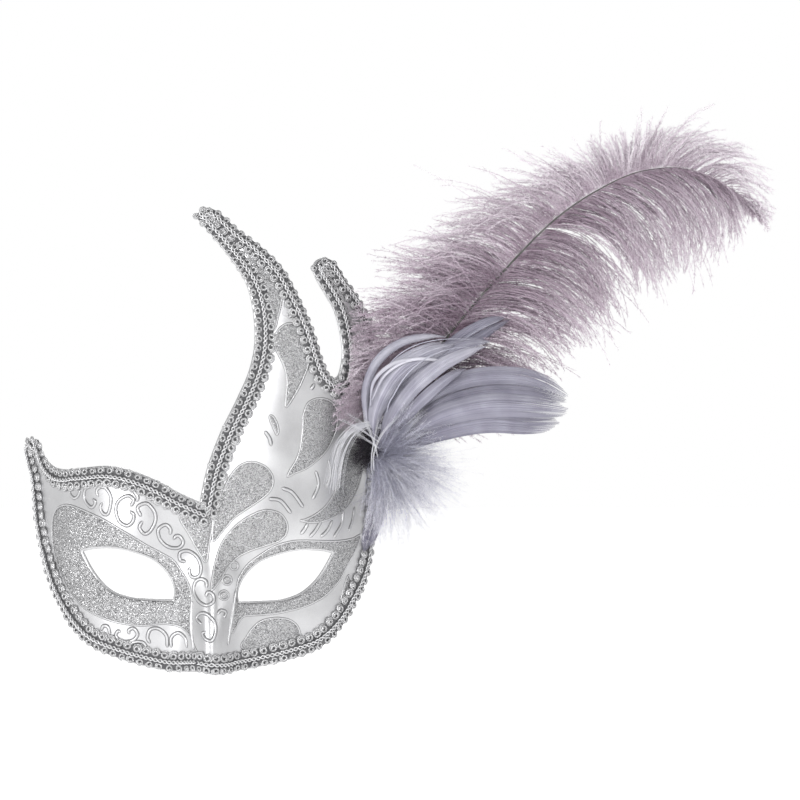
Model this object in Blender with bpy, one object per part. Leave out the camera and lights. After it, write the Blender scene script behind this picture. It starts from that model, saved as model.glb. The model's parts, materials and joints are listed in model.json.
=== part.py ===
"""A Venetian half mask: a moulded shell with a flame and two horns, gimp braid round every edge,
and a spray of one ostrich plume, goose feathers and marabou down bound to the wearer's left temple.

Frame: metres, +Z up, +X to the wearer's left, the front faces -Y. The origin is the point of the
shell's inner face that rests on the bridge of the nose, level with the middle of the eye holes.
Outlines and feather paths are listed in millimetres and turned into metres by mm().
"""

import math

import bmesh
import bpy
from mathutils import Vector
from mathutils.geometry import delaunay_2d_cdt

# ---- driving dimensions, in metres ----
SHELL_THICKNESS = 0.0016
GAP = 0.0004  # clearance between glued pieces
SHELL_GRID, NOSE_GRID = 0.009, 0.0034  # spacing of the shell's inner points, and round the nose
OUTLINE_STEP = 0.004
BRAID_WIDTH = 0.0095
BRAID_THICKNESS = 0.0019
BRAID_STEP, BRAID_SAG = 0.0065, 0.00010  # longest stride along a braid, and how far it may cut a bend
QUILL_RADIUS = 0.0007
PLUME_QUILL_RADIUS = 0.0010

# ---- the moulded surface, as depth behind the XZ plane ----
WRAP_SQUARE = 1.6  # curl round the head, in 1/m
WRAP_QUARTIC = 700.0  # extra curl at the temples, in 1/m^3
FLAME_FLATTEN = 0.35  # share of that curl which the flame loses
FLAME_START, FLAME_END = 0.040, 0.120
FOREHEAD_LEAN = 0.54  # 1/m
CHEEK_TUCK = 1.2  # 1/m
SOCKET_DEPTH = 0.0035
SOCKET_X, SOCKET_HALF_WIDTH, SOCKET_HALF_HEIGHT = 0.040, 0.024, 0.014
NOSE_X, NOSE_HALF_WIDTH, NOSE_RISE = 0.0030, 0.0115, 0.0165
NOSE_TOP, NOSE_FOOT = 0.030, -0.049

# ---- the shell's edge, stretch by stretch, as (x, z) in millimetres ----
BROW = [(-88.5, 66.5), (-85, 59), (-80, 54), (-73, 52), (-63, 53), (-50, 54), (-38, 52),
        (-25, 47), (-13, 40.5), (-3, 36)]
FLAME_LEFT = [(-3, 36), (0.5, 52.5), (7, 70.5), (15.5, 88), (22, 103.5), (24.5, 120),
              (22, 140), (16.5, 152.5), (8, 164), (-1.5, 175.5), (-5, 180.5)]
FLAME_RIGHT = [(-5, 180.5), (0, 183.5), (5.5, 181.5), (16, 172.5), (27.5, 164), (37.5, 154),
               (44.5, 142), (50, 130.5), (54, 119.5), (58, 106.5), (61, 100), (63.5, 98)]
HORN_INNER = [(63.5, 98), (66.5, 100), (68.5, 110), (67.5, 120), (64.5, 132), (60.5, 139.5),
              (56, 147), (53, 153.5)]
HORN_OUTER = [(53, 153.5), (55, 157.5), (59.5, 159), (64, 156), (69.5, 147), (76, 137.5),
              (81.5, 126.5), (85, 112.5), (86.5, 95), (86, 77.5), (85, 60), (84, 37.5), (82.5, 15)]
RIGHT_CHEEK = [(82.5, 15), (80, 0), (74.5, -13.5), (66.5, -27.5), (56, -37.5), (42, -42.5),
               (27, -46), (15, -48), (6, -49.5), (-3, -48)]
LEFT_CHEEK = [(-3, -48), (-15.5, -48.5), (-28, -46.5), (-43, -42.5), (-58, -36.5), (-68, -26.5),
              (-77, -11), (-83, 6), (-87, 24), (-89, 42.5), (-90.5, 57.5), (-91, 65), (-88.5, 66.5)]
EYE_UPPER = [(-63.5, 11.5), (-58, 12.75), (-48, 13.25), (-38, 11.5), (-28, 8), (-21.5, 3),
             (-17.5, -3), (-16, -8.5), (-16.5, -12.5)]
EYE_LOWER = [(-16.5, -12.5), (-28, -12.25), (-38, -11.5), (-47, -8.5), (-54, -3), (-59, 3.5),
             (-63.5, 11.5)]
RIGHT_EYE_DROP = 1.0  # millimetres by which the wearer's left eye hole sits lower

# ---- the feather spray, as (x, y, z) in millimetres ----
HUB_FOOT = (79.5, 58.0)  # (x, z) of the shell point that the spray is glued over
HUB_RISE = Vector((0.45, -0.10, 0.86))  # the way the quills leave, before it is laid along the shell
SLEEVE_INNER, SLEEVE_OUTER, SLEEVE_LENGTH = 0.0037, 0.0047, 0.012
PAD_RADIUS, PAD_THICKNESS = 0.0065, 0.0012
QUILL_RING = 0.0023  # how far the quills lie from the middle of the binding
PLUME_SEAT = -90  # the plume's place in the binding, in degrees from its left, with the front at 90
BUTT_RISE, SWAY_GAP = 0.007, 0.0009  # the butt's end above the seat, and the gap where the plume sways
PLUME_SHAFT = [(91, 37.5, 76), (97, 32, 87.5), (121, 21, 119.5), (147, 17, 150), (177, 16, 180),
               (207, 18, 198.5), (227, 21, 204), (243, 25, 203.5), (258, 31, 198), (270, 36, 189.5),
               (278, 39.5, 181)]
PLUME_UPPER_EDGE = [(82, 34, 76), (71, 17, 96), (70, 12.5, 118), (75, 10, 136), (98, 11, 156),
                    (117, 12, 181), (147, 12, 202), (187, 13, 219), (222, 18, 222), (252, 26, 214),
                    (272, 35, 200), (284, 41, 181)]
PLUME_LOWER_EDGE = [(98, 38, 74), (112, 30, 82), (130, 27, 92), (155, 25, 99), (178, 24, 103),
                    (197, 24, 119), (217, 25, 127), (237, 28, 136), (257, 32, 150),
                    (266, 36, 160), (274, 39, 166), (281, 41, 173)]
PLUME_ROWS, PLUME_THICKNESS, PLUME_BARE = 15, 0.0022, 0.05
GOOSE = {  # name: (quill path, half width of the vane, place in the binding)
    "curled": ([(84, 19, 84), (87, 12, 97), (94, 8, 108), (105, 5.5, 115), (120, 5, 118),
                (140, 6, 117.5)], 6.5, 22),
    "front": ([(91, 14, 84), (98, 6, 97), (108, 0.5, 107), (122, -1.5, 113), (138, -1, 114.5)], 5.0, 67),
    "rear": ([(94, 20, 84), (106, 16, 98), (117, 13.5, 108), (132, 12, 120), (146, 12, 127),
              (154, 13, 129.5)], 5.0, 112),
    "broad": ([(99, 21, 75), (118, 12.5, 84), (138, 8, 88.5), (158, 6, 88.5), (177, 8, 85)], 14.5, 157),
}
DROOPING_QUILL = [(83, 30, 44), (80.5, 28, 30), (77.5, 26.5, 13)]
DROOPING_HALF_WIDTH, DROOPING_SEAT = 5.0, 203
CURLED_STRAND = [(80, 21, 78), (74, 17, 76), (68.5, 15, 71.5), (65, 15, 63), (62.5, 15.5, 52.5)]
MARABOU_TUFTS = {  # name: (line of the tuft, its half widths along that line)
    "lower": ([(89.5, 22.5, 54), (94, 19.5, 49), (101, 17.5, 42), (106, 17, 34), (109, 17.5, 24)],
              [1.0, 9, 16, 15, 7]),
    "upper": ([(92, 18.5, 60), (96, 9, 63), (102, 1.5, 67), (109, -2, 73), (117, -2.5, 80)],
              [1.0, 6, 11, 12, 7]),
}
TUFT_FLATNESS = 0.42
ANCHOR_X, ANCHOR_Z, ANCHOR_SIZE, ANCHOR_THICKNESS, ANCHOR_GLUE = 0.0750, 0.018, 0.014, 0.0012, 0.0010

COLOURS = {  # name: (colour, roughness, metallic)
    "silver paint": ((0.78, 0.78, 0.79), 0.32, 0.35),
    "silver lurex": ((0.55, 0.55, 0.56), 0.45, 0.6),
    "mauve plume": ((0.60, 0.50, 0.58), 0.8, 0.0),
    "lilac feather": ((0.66, 0.66, 0.75), 0.6, 0.0),
    "lilac down": ((0.62, 0.63, 0.72), 0.9, 0.0),
    "dark quill": ((0.16, 0.16, 0.15), 0.5, 0.0),
    "black thread": ((0.05, 0.045, 0.055), 0.8, 0.0),
    "grey felt": ((0.35, 0.35, 0.37), 0.95, 0.0),
}


def mm(*values):
    """Millimetres to metres, as a vector."""
    return Vector([v * 0.001 for v in values])


def smooth(t):
    """0 to 1 with a soft start and end."""
    t = max(0.0, min(1.0, t))
    return t * t * (3 - 2 * t)


def raw_depth(x, z):
    """Depth of the shell's front face before it is moved onto the datum."""
    flatten = 1 - FLAME_FLATTEN * smooth((z - FLAME_START) / (FLAME_END - FLAME_START))
    wrap = (WRAP_SQUARE * x**2 + WRAP_QUARTIC * x**4) * flatten
    tilt = (FOREHEAD_LEAN if z > 0 else CHEEK_TUCK) * z**2
    sockets = sum(
        math.exp(-(((x - side * SOCKET_X) / SOCKET_HALF_WIDTH) ** 2) - (z / SOCKET_HALF_HEIGHT) ** 2)
        for side in (-1, 1)
    )
    nose = smooth((NOSE_TOP - z) / (NOSE_TOP - NOSE_FOOT)) * math.exp(
        -(((x - NOSE_X) / NOSE_HALF_WIDTH) ** 2)
    )
    return wrap + tilt + SOCKET_DEPTH * sockets - NOSE_RISE * nose


DATUM = raw_depth(0, 0) + SHELL_THICKNESS


def surface(x, z, lift=0.0):
    """The point of the shell's front face over (x, z), lifted along its normal."""
    point = Vector((x, raw_depth(x, z) - DATUM, z))
    return point + normal(x, z) * lift if lift else point


def normal(x, z):
    """The front face's outward normal over (x, z)."""
    h = 0.0002
    slope_x = (raw_depth(x + h, z) - raw_depth(x - h, z)) / (2 * h)
    slope_z = (raw_depth(x, z + h) - raw_depth(x, z - h)) / (2 * h)
    return Vector((slope_x, -1, slope_z)).normalized()


def through(points, step):
    """A smooth curve through the points, in the points' own units, with vertices about step apart."""
    points = [Vector(p) for p in points]
    ends = [2 * points[0] - points[1]] + points + [2 * points[-1] - points[-2]]
    curve = []
    for a, b, c, d in zip(ends, ends[1:], ends[2:], ends[3:]):
        count = max(1, round((c - b).length / step))
        for i in range(count):
            t = i / count
            curve.append(
                0.5 * (2 * b + (c - a) * t + (2 * a - 5 * b + 4 * c - d) * t * t
                       + (3 * b - a - 3 * c + d) * t**3)
            )
    return curve + [points[-1]]


def along(curve, share):
    """The point at that share of a curve's length."""
    lengths = [0.0]
    for a, b in zip(curve, curve[1:]):
        lengths.append(lengths[-1] + (b - a).length)
    want = share * lengths[-1]
    for i in range(1, len(curve)):
        if lengths[i] >= want:
            part = (want - lengths[i - 1]) / max(lengths[i] - lengths[i - 1], 1e-12)
            return curve[i - 1].lerp(curve[i], part)
    return curve[-1]


def outline(step):
    """The shell's whole edge as one closed loop of (x, z), in metres."""
    loop = []
    for stretch in (BROW, FLAME_LEFT, FLAME_RIGHT, HORN_INNER, HORN_OUTER, RIGHT_CHEEK, LEFT_CHEEK):
        loop += [p * 0.001 for p in through(stretch, step * 1000)[:-1]]
    return loop


def eye_hole(side, step):
    """An eye hole's edge as a closed loop; side is -1 for the wearer's right, 1 for the left."""
    drop = RIGHT_EYE_DROP if side > 0 else 0.0
    loop = [p for half in (EYE_UPPER, EYE_LOWER) for p in through(half, step * 1000)[:-1]]
    return [mm(-side * p.x, p.y - drop) for p in loop]


def inside(point, loop):
    """True if the point is within the closed loop."""
    crossed = False
    for a, b in zip(loop, loop[1:] + loop[:1]):
        if (a.y > point.y) != (b.y > point.y):
            crossed ^= point.x < (b.x - a.x) * (point.y - a.y) / (b.y - a.y) + a.x
    return crossed


def distance(point, loop):
    """Distance from the point to the nearest vertex of the loop."""
    return min((point - p).length for p in loop)


def material(name):
    """The named Principled material, made once."""
    found = bpy.data.materials.get(name)
    if found:
        return found
    colour, roughness, metallic = COLOURS[name]
    made = bpy.data.materials.new(name)
    made.use_nodes = True
    shader = made.node_tree.nodes["Principled BSDF"]
    shader.inputs["Base Color"].default_value = (*colour, 1)
    shader.inputs["Roughness"].default_value = roughness
    shader.inputs["Metallic"].default_value = metallic
    made.diffuse_color = (*colour, 1)
    return made


def add(name, mesh_or_curve, finish):
    """A new object of that name and material, linked to the scene."""
    obj = bpy.data.objects.new(name, mesh_or_curve)
    obj.data.materials.append(material(finish))
    bpy.context.scene.collection.objects.link(obj)
    return obj


def mesh_of(name, vertices, faces):
    """A mesh from vertices and faces, with its normals facing out and round stretches smooth."""
    mesh = bpy.data.meshes.new(name)
    mesh.from_pydata([tuple(v) for v in vertices], [], faces)
    body = bmesh.new()
    body.from_mesh(mesh)
    bmesh.ops.recalc_face_normals(body, faces=body.faces)
    body.to_mesh(mesh)
    body.free()
    mesh.shade_smooth()
    mesh.set_sharp_from_angle(angle=math.radians(40))
    return mesh


def slab(name, fronts, backs, finish):
    """A closed solid between two grids of points, given as rows of equal length."""
    rows, columns = len(fronts), len(fronts[0])
    vertices = [p for row in fronts for p in row] + [p for row in backs for p in row]
    behind = rows * columns

    def at(i, j, back=False):
        return i * columns + j + (behind if back else 0)

    faces = []
    for i in range(rows - 1):
        for j in range(columns - 1):
            faces.append((at(i, j), at(i, j + 1), at(i + 1, j + 1), at(i + 1, j)))
            faces.append((at(i, j, 1), at(i + 1, j, 1), at(i + 1, j + 1, 1), at(i, j + 1, 1)))
    rim = [(0, j) for j in range(columns)] + [(i, columns - 1) for i in range(1, rows)]
    rim += [(rows - 1, j) for j in range(columns - 2, -1, -1)] + [(i, 0) for i in range(rows - 2, 0, -1)]
    for a, b in zip(rim, rim[1:] + rim[:1]):
        faces.append((at(*a), at(*a, True), at(*b, True), at(*b)))
    return add(name, mesh_of(name, vertices, faces), finish)


def tube(name, points, radius, finish, resolution=2):
    """A round rod through points in metres, with closed ends."""
    curve = bpy.data.curves.new(name, "CURVE")
    curve.dimensions = "3D"
    curve.bevel_depth = radius
    curve.bevel_resolution = resolution
    curve.use_fill_caps = True
    spline = curve.splines.new("POLY")
    spline.points.add(len(points) - 1)
    for knot, point in zip(spline.points, points):
        knot.co = (*point, 1)
    return add(name, curve, finish)


def on_nose(point):
    """True where the shell bends tightly over the nose and beside it."""
    return abs(point.x - NOSE_X) < 2.1 * NOSE_HALF_WIDTH and point.y < 0.6 * NOSE_TOP


def lattice(spacing, edge, holes):
    """Staggered rows of points within the shell's edge, clear of it and of the eye holes."""
    low_x, high_x = min(p.x for p in edge), max(p.x for p in edge)
    low_z, high_z = min(p.y for p in edge), max(p.y for p in edge)
    clear = spacing * 0.5
    kept = []
    for i in range(int((high_z - low_z) / spacing)):
        for j in range(int((high_x - low_x) / spacing)):
            spot = Vector((low_x + (j + 0.5 * (i % 2)) * spacing, low_z + i * spacing))
            if not inside(spot, edge) or distance(spot, edge) < clear:
                continue
            if all(not inside(spot, hole) and distance(spot, hole) > clear for hole in holes):
                kept.append(spot)
    return kept


def make_shell():
    """The moulded shell: a triangulated sheet over its outline, lifted to the surface and given its wall."""
    edge = outline(OUTLINE_STEP)
    holes = [eye_hole(side, OUTLINE_STEP) for side in (-1, 1)]
    points, links = [], []
    for loop in (edge, *holes):
        first = len(points)
        points += loop
        links += [(first + i, first + (i + 1) % len(loop)) for i in range(len(loop))]
    points += [p for p in lattice(NOSE_GRID, edge, holes) if on_nose(p)]
    points += [p for p in lattice(SHELL_GRID, edge, holes) if not on_nose(p)]
    within_edge = 1
    flat, _, triangles, *_ = delaunay_2d_cdt(points, links, [], within_edge, 1e-7)
    middles = [sum((flat[i] for i in face), Vector((0, 0))) / 3 for face in triangles]
    kept = [f for f, m in zip(triangles, middles) if inside(m, edge) and not any(inside(m, h) for h in holes)]
    mesh = bpy.data.meshes.new("mask_shell")
    mesh.from_pydata([tuple(surface(p.x, p.y)) for p in flat], [], kept)
    sheet = bmesh.new()
    sheet.from_mesh(mesh)
    bmesh.ops.recalc_face_normals(sheet, faces=sheet.faces)
    if sum(face.normal.y for face in sheet.faces) > 0:
        bmesh.ops.reverse_faces(sheet, faces=sheet.faces)
    sheet.to_mesh(mesh)
    sheet.free()
    mesh.shade_smooth()
    shell = add("mask_shell", mesh, "silver paint")
    wall = shell.modifiers.new("wall", "SOLIDIFY")
    wall.thickness = SHELL_THICKNESS
    wall.offset = -1
    return shell


def room_across(point, inward, edge):
    """How far the shell reaches from an edge point along the inward direction, seen from the front."""
    nearest = 1.0
    for a, b in zip(edge, edge[1:] + edge[:1]):
        side = b - a
        det = inward.x * -side.y + inward.y * side.x
        if abs(det) < 1e-12:
            continue
        gap = a - point
        reach = (gap.x * -side.y + gap.y * side.x) / det
        share = (inward.x * gap.y - inward.y * gap.x) / det
        if reach > 0.0015 and 0 <= share <= 1:
            nearest = min(nearest, reach)
    return nearest


def across_braid(point, inward, width, columns):
    """Points (x, z) from the edge inwards, evenly spaced over the braid's width along the surface."""
    places, step, gone, wanted = [], 0.0003, 0.0, 0.0
    here, last = point.copy(), surface(point.x, point.y)
    while len(places) < columns:
        while len(places) < columns and gone >= wanted - 1e-9:
            places.append(here.copy())
            wanted = width * len(places) / (columns - 1)
        here = here + inward * step
        now = surface(here.x, here.y)
        gone += (now - last).length
        last = now
    return places


def strides(curve, start, end):
    """Shares of the curve's length for a braid's rows: long strides, shorter where the shell bends."""
    fine = 300
    shares = [start + (end - start) * i / fine for i in range(fine + 1)]
    spots = [surface(*along(curve, share)) for share in shares]
    kept, last = [0], 0
    while last < fine:
        reach = last + 1
        while reach < fine and (spots[reach + 1] - spots[last]).length < BRAID_STEP:
            chord = spots[reach + 1] - spots[last]
            middle = spots[(reach + 1 + last) // 2] - spots[last]
            if (middle - chord * middle.dot(chord) / chord.dot(chord)).length > BRAID_SAG:
                break
            reach += 1
        kept.append(reach)
        last = reach
    if len(kept) > 2 and kept[-1] - kept[-2] < 3:
        del kept[-2]
    return [shares[i] for i in kept]


def make_braid(name, stretch, start=0.0, end=1.0):
    """A flat band of gimp braid on the front face, along one stretch of the edge."""
    edge = outline(OUTLINE_STEP)
    curve = [p * 0.001 for p in through(stretch, 1.0)]
    columns, margin = 4, 0.0008
    fronts, backs = [], []
    for share in strides(curve, start, end):
        point = along(curve, share)
        ahead = along(curve, min(1.0, share + 0.01)) - along(curve, max(0.0, share - 0.01))
        inward = Vector((ahead.y, -ahead.x)).normalized()
        room = room_across(point, inward, edge)
        slope = surface(point.x + inward.x * 0.003, point.y + inward.y * 0.003) - surface(*point)
        reach = room * slope.length / 0.003
        width = min(BRAID_WIDTH, 0.40 * reach - margin)
        places = across_braid(point, inward, max(width, 0.0012), columns)
        crown = [0.65, 1.0, 1.0, 0.65]
        fronts.append([surface(p.x, p.y, GAP + BRAID_THICKNESS * c) for p, c in zip(places, crown)])
        backs.append([surface(p.x, p.y, GAP) for p in places])
    return slab(name, fronts, backs, "silver lurex")


def make_braids():
    """The seven lengths of braid, each ending just short of the next."""
    make_braid("brow_braid", BROW, 0.05, 0.985)
    make_braid("flame_left_braid", FLAME_LEFT, 0.015, 0.955)
    make_braid("flame_right_braid", FLAME_RIGHT, 0.085, 0.93)
    make_braid("horn_inner_braid", HORN_INNER, 0.14, 0.91)
    make_braid("horn_outer_braid", HORN_OUTER, 0.085, 0.995)
    make_braid("right_cheek_braid", RIGHT_CHEEK, 0.005, 0.99)
    make_braid("left_cheek_braid", LEFT_CHEEK, 0.01, 0.95)


def hub():
    """The spray's foot on the shell, the shell's normal there, and the binding's middle and axis."""
    x, z = mm(*HUB_FOOT)
    outward = normal(x, z)
    lift = GAP + BRAID_THICKNESS + 2 * GAP + PAD_THICKNESS + GAP + SLEEVE_OUTER
    axis = (HUB_RISE - outward * HUB_RISE.dot(outward)).normalized()
    return surface(x, z), outward, surface(x, z, lift), axis


def seat(place):
    """Where a quill lies in the binding: its offset from the middle."""
    axis = hub()[3]
    left = axis.cross(Vector((0, 1, 0))).normalized()
    front = axis.cross(left).normalized()
    angle = math.radians(place)
    return (left * math.cos(angle) + front * math.sin(angle)) * QUILL_RING


def turned(name, profile, centre, axis, finish, steps=20):
    """A ring or disc: (radius, height) points spun about an axis through centre."""
    side = axis.orthogonal().normalized()
    front = axis.cross(side)
    vertices, faces = [], []
    for i in range(steps):
        angle = 2 * math.pi * i / steps
        out = side * math.cos(angle) + front * math.sin(angle)
        vertices += [centre + out * radius + axis * height for radius, height in profile]
    n = len(profile)
    for i in range(steps):
        here, after = i * n, ((i + 1) % steps) * n
        faces += [(here + j, here + (j + 1) % n, after + (j + 1) % n, after + j) for j in range(n)]
    return add(name, mesh_of(name, vertices, faces), finish)


def disc(name, radius, thickness, centre, axis, finish, steps=24):
    """A flat round pad whose lower face is centred on centre."""
    side = axis.orthogonal().normalized()
    front = axis.cross(side)
    angles = [2 * math.pi * i / steps for i in range(steps)]
    ring = [(side * math.cos(a) + front * math.sin(a)) * radius for a in angles]
    vertices = [centre + p for p in ring] + [centre + p + axis * thickness for p in ring]
    faces = [tuple(range(steps)), tuple(range(steps, 2 * steps))]
    faces += [(i, (i + 1) % steps, steps + (i + 1) % steps, steps + i) for i in range(steps)]
    return add(name, mesh_of(name, vertices, faces), finish)


def make_hub():
    """The felt pad glued over the braid, and the thread binding that holds the quills on it."""
    foot, outward, centre, axis = hub()
    lift = GAP + BRAID_THICKNESS + 2 * GAP
    disc("spray_pad", PAD_RADIUS, PAD_THICKNESS, foot + outward * lift, outward, "grey felt")
    half = SLEEVE_LENGTH / 2
    profile = [(SLEEVE_INNER, -half), (SLEEVE_OUTER * 0.9, -half), (SLEEVE_OUTER, -half * 0.7),
               (SLEEVE_OUTER, half * 0.7), (SLEEVE_OUTER * 0.9, half), (SLEEVE_INNER, half)]
    turned("quill_binding", profile, centre, axis, "black thread")


def vane(name, path, half_width, finish, thickness=0.0012, rows=10):
    """A leaf-shaped vane just behind a quill, along the quill's path."""
    curve = through(path, 4)
    behind = QUILL_RADIUS + 2 * GAP
    fronts, backs = [], []
    for i in range(rows):
        share = i / (rows - 1)
        point = along(curve, share) * 0.001
        ahead = along(curve, min(1, share + 0.02)) - along(curve, max(0, share - 0.02))
        side = ahead.cross(Vector((0, 1, 0))).normalized()
        leaf = 0.35 + 0.65 * smooth(share / 0.45)
        leaf *= math.sqrt(max(0.0, 1 - max(0.0, (share - 0.72) / 0.30) ** 2))
        width = half_width * 0.001 * max(leaf, 0.12)
        fronts.append([])
        backs.append([])
        for j in (-1, -0.5, 0, 0.5, 1):
            spot = point + side * width * j + Vector((0, behind + 0.0012 * j * j, 0))
            fronts[-1].append(spot)
            backs[-1].append(spot + Vector((0, thickness, 0)))
    return slab(name, fronts, backs, finish)


def make_goose_feathers():
    """The stiff goose feathers: a quill bound at the hub, and its vane just behind the quill."""
    _, _, centre, axis = hub()
    half = SLEEVE_LENGTH / 2
    for name, (path, half_width, place) in GOOSE.items():
        foot = centre + seat(place)
        held = [foot - axis * half * 0.8, foot, foot + axis * half, foot + axis * (half + 0.003)]
        line = [p * 1000 for p in held] + path
        tube(f"goose_quill_{name}", [p * 0.001 for p in through(line, 6)], QUILL_RADIUS, "lilac feather", 1)
        vane(f"goose_vane_{name}", path, half_width, "lilac feather")
    foot = centre + seat(DROOPING_SEAT)
    line = [foot * 1000, (foot - axis * half) * 1000] + DROOPING_QUILL
    tube("goose_quill_drooping", [p * 0.001 for p in through(line, 6)], QUILL_RADIUS, "lilac feather", 1)
    vane("goose_vane_drooping", DROOPING_QUILL, DROOPING_HALF_WIDTH, "lilac feather", rows=7)


def make_plume():
    """The ostrich plume: the butt held in the binding, and the shaft and vane that sway above it."""
    _, _, centre, axis = hub()
    foot = centre + seat(PLUME_SEAT)
    tube("plume_butt", [foot - axis * 0.002, foot + axis * BUTT_RISE], PLUME_QUILL_RADIUS, "dark quill")
    sway_point = foot + axis * (BUTT_RISE + SWAY_GAP)
    shaft = [p * 0.001 for p in through([sway_point * 1000] + PLUME_SHAFT, 6)]
    tube("plume_shaft", shaft, PLUME_QUILL_RADIUS, "dark quill")
    upper = [p * 0.001 for p in through(PLUME_UPPER_EDGE, 4)]
    lower = [p * 0.001 for p in through(PLUME_LOWER_EDGE, 4)]
    back_off = Vector((0, PLUME_QUILL_RADIUS + 3 * GAP, 0))
    depth = Vector((0, PLUME_THICKNESS, 0))
    fronts, backs = [], []
    for i in range(PLUME_ROWS):
        share = i / (PLUME_ROWS - 1)
        top, bottom = along(upper, share), along(lower, share)
        middle = along(shaft, PLUME_BARE + (1 - PLUME_BARE) * share)
        row = [top, top.lerp(middle, 0.55), middle, middle.lerp(bottom, 0.5), bottom]
        fronts.append([p + back_off for p in row])
        backs.append([p + back_off + depth for p in row])
    slab("plume_vane", fronts, backs, "mauve plume")


def tuft(name, line, half_widths, steps=10):
    """A soft lump of down: flattened rings along a line, closed at both ends."""
    middle = [mm(*p) for p in line]
    vertices, faces = [middle[0]], []
    for i, (point, half) in enumerate(zip(middle, half_widths)):
        ahead = middle[min(i + 1, len(middle) - 1)] - middle[max(i - 1, 0)]
        side = ahead.cross(Vector((0, 1, 0))).normalized()
        front = ahead.cross(side).normalized()
        for j in range(steps):
            angle = 2 * math.pi * j / steps
            out = side * math.cos(angle) + front * math.sin(angle) * TUFT_FLATNESS
            vertices.append(point + out * half * 0.001)
    vertices.append(middle[-1] + (middle[-1] - middle[-2]) * 0.5)
    vertices[0] = middle[0] - (middle[1] - middle[0]) * 0.1
    last = len(vertices) - 1
    for i in range(len(line) - 1):
        here, after = 1 + i * steps, 1 + (i + 1) * steps
        for j in range(steps):
            faces.append((here + j, here + (j + 1) % steps, after + (j + 1) % steps, after + j))
    faces += [(0, 1 + (j + 1) % steps, 1 + j) for j in range(steps)]
    foot = last - steps
    faces += [(last, foot + j, foot + (j + 1) % steps) for j in range(steps)]
    add(name, mesh_of(name, vertices, faces), "lilac down")


def make_down():
    """The two marabou tufts, and the curled strand over the cheek of the shell."""
    for name, (line, half_widths) in MARABOU_TUFTS.items():
        tuft(f"marabou_tuft_{name}", line, half_widths)
    strand = [p * 0.001 for p in through(CURLED_STRAND, 4)]
    tube("curled_strand", strand, 0.0006, "lilac feather", 1)


def make_anchors():
    """The felt tabs inside each temple, where a tie ribbon is glued."""
    for name, side in (("right", -1), ("left", 1)):
        x = side * ANCHOR_X
        inward = -normal(x, ANCHOR_Z)
        up = (Vector((0, 0, 1)) - inward * inward.z).normalized()
        across = inward.cross(up)
        foot = surface(x, ANCHOR_Z, -SHELL_THICKNESS - ANCHOR_GLUE)
        half = ANCHOR_SIZE / 2
        corners = [across * a * half + up * b * half for a, b in ((-1, -1), (1, -1), (1, 1), (-1, 1))]
        near = [foot + c for c in corners]
        far = [p + inward * ANCHOR_THICKNESS for p in near]
        faces = [(0, 1, 2, 3), (4, 5, 6, 7)] + [(i, (i + 1) % 4, 4 + (i + 1) % 4, 4 + i) for i in range(4)]
        add(f"tie_anchor_{name}", mesh_of(f"tie_anchor_{name}", near + far, faces), "grey felt")


def main():
    """Clears the scene and makes every piece."""
    for obj in list(bpy.data.objects):
        bpy.data.objects.remove(obj)
    make_shell()
    make_braids()
    make_hub()
    make_goose_feathers()
    make_plume()
    make_down()
    make_anchors()


main()
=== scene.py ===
"""The looks of a Venetian half mask: silver moulded shell, glitter, gimp braid and a spray of feathers.

Lengths in the lists are millimetres in the frame's own axes, with x to the wearer's left and z up, and
mm() turns them into metres.
"""

from __future__ import annotations

import json
import logging
import math
from dataclasses import dataclass, field
from enum import Enum

import bpy
import numpy as np
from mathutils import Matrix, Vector
from mathutils.geometry import delaunay_2d_cdt

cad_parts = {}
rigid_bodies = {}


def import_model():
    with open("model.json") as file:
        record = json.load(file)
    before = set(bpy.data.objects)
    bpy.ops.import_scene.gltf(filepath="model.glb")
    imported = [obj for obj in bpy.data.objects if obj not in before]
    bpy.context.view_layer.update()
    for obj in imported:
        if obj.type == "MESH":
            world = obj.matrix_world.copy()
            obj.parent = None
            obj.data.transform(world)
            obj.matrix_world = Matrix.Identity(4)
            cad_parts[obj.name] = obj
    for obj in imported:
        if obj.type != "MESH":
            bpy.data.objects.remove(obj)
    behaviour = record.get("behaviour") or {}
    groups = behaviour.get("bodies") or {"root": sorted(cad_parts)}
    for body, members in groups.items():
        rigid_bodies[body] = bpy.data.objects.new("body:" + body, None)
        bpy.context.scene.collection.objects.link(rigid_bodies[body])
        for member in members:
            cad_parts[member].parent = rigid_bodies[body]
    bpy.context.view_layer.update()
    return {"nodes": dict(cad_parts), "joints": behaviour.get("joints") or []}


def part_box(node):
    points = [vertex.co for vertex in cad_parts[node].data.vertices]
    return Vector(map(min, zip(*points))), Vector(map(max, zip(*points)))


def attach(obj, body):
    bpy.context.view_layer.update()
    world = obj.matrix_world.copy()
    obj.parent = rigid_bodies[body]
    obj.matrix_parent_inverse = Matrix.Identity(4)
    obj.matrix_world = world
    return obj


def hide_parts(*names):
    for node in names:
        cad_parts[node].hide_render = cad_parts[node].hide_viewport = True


LOG = logging.getLogger("venetian_mask")
ROOT, PLUME = "root", "plume"

Pairs = list[tuple[float, float]]
Triples = list[tuple[float, float, float]]

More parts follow.
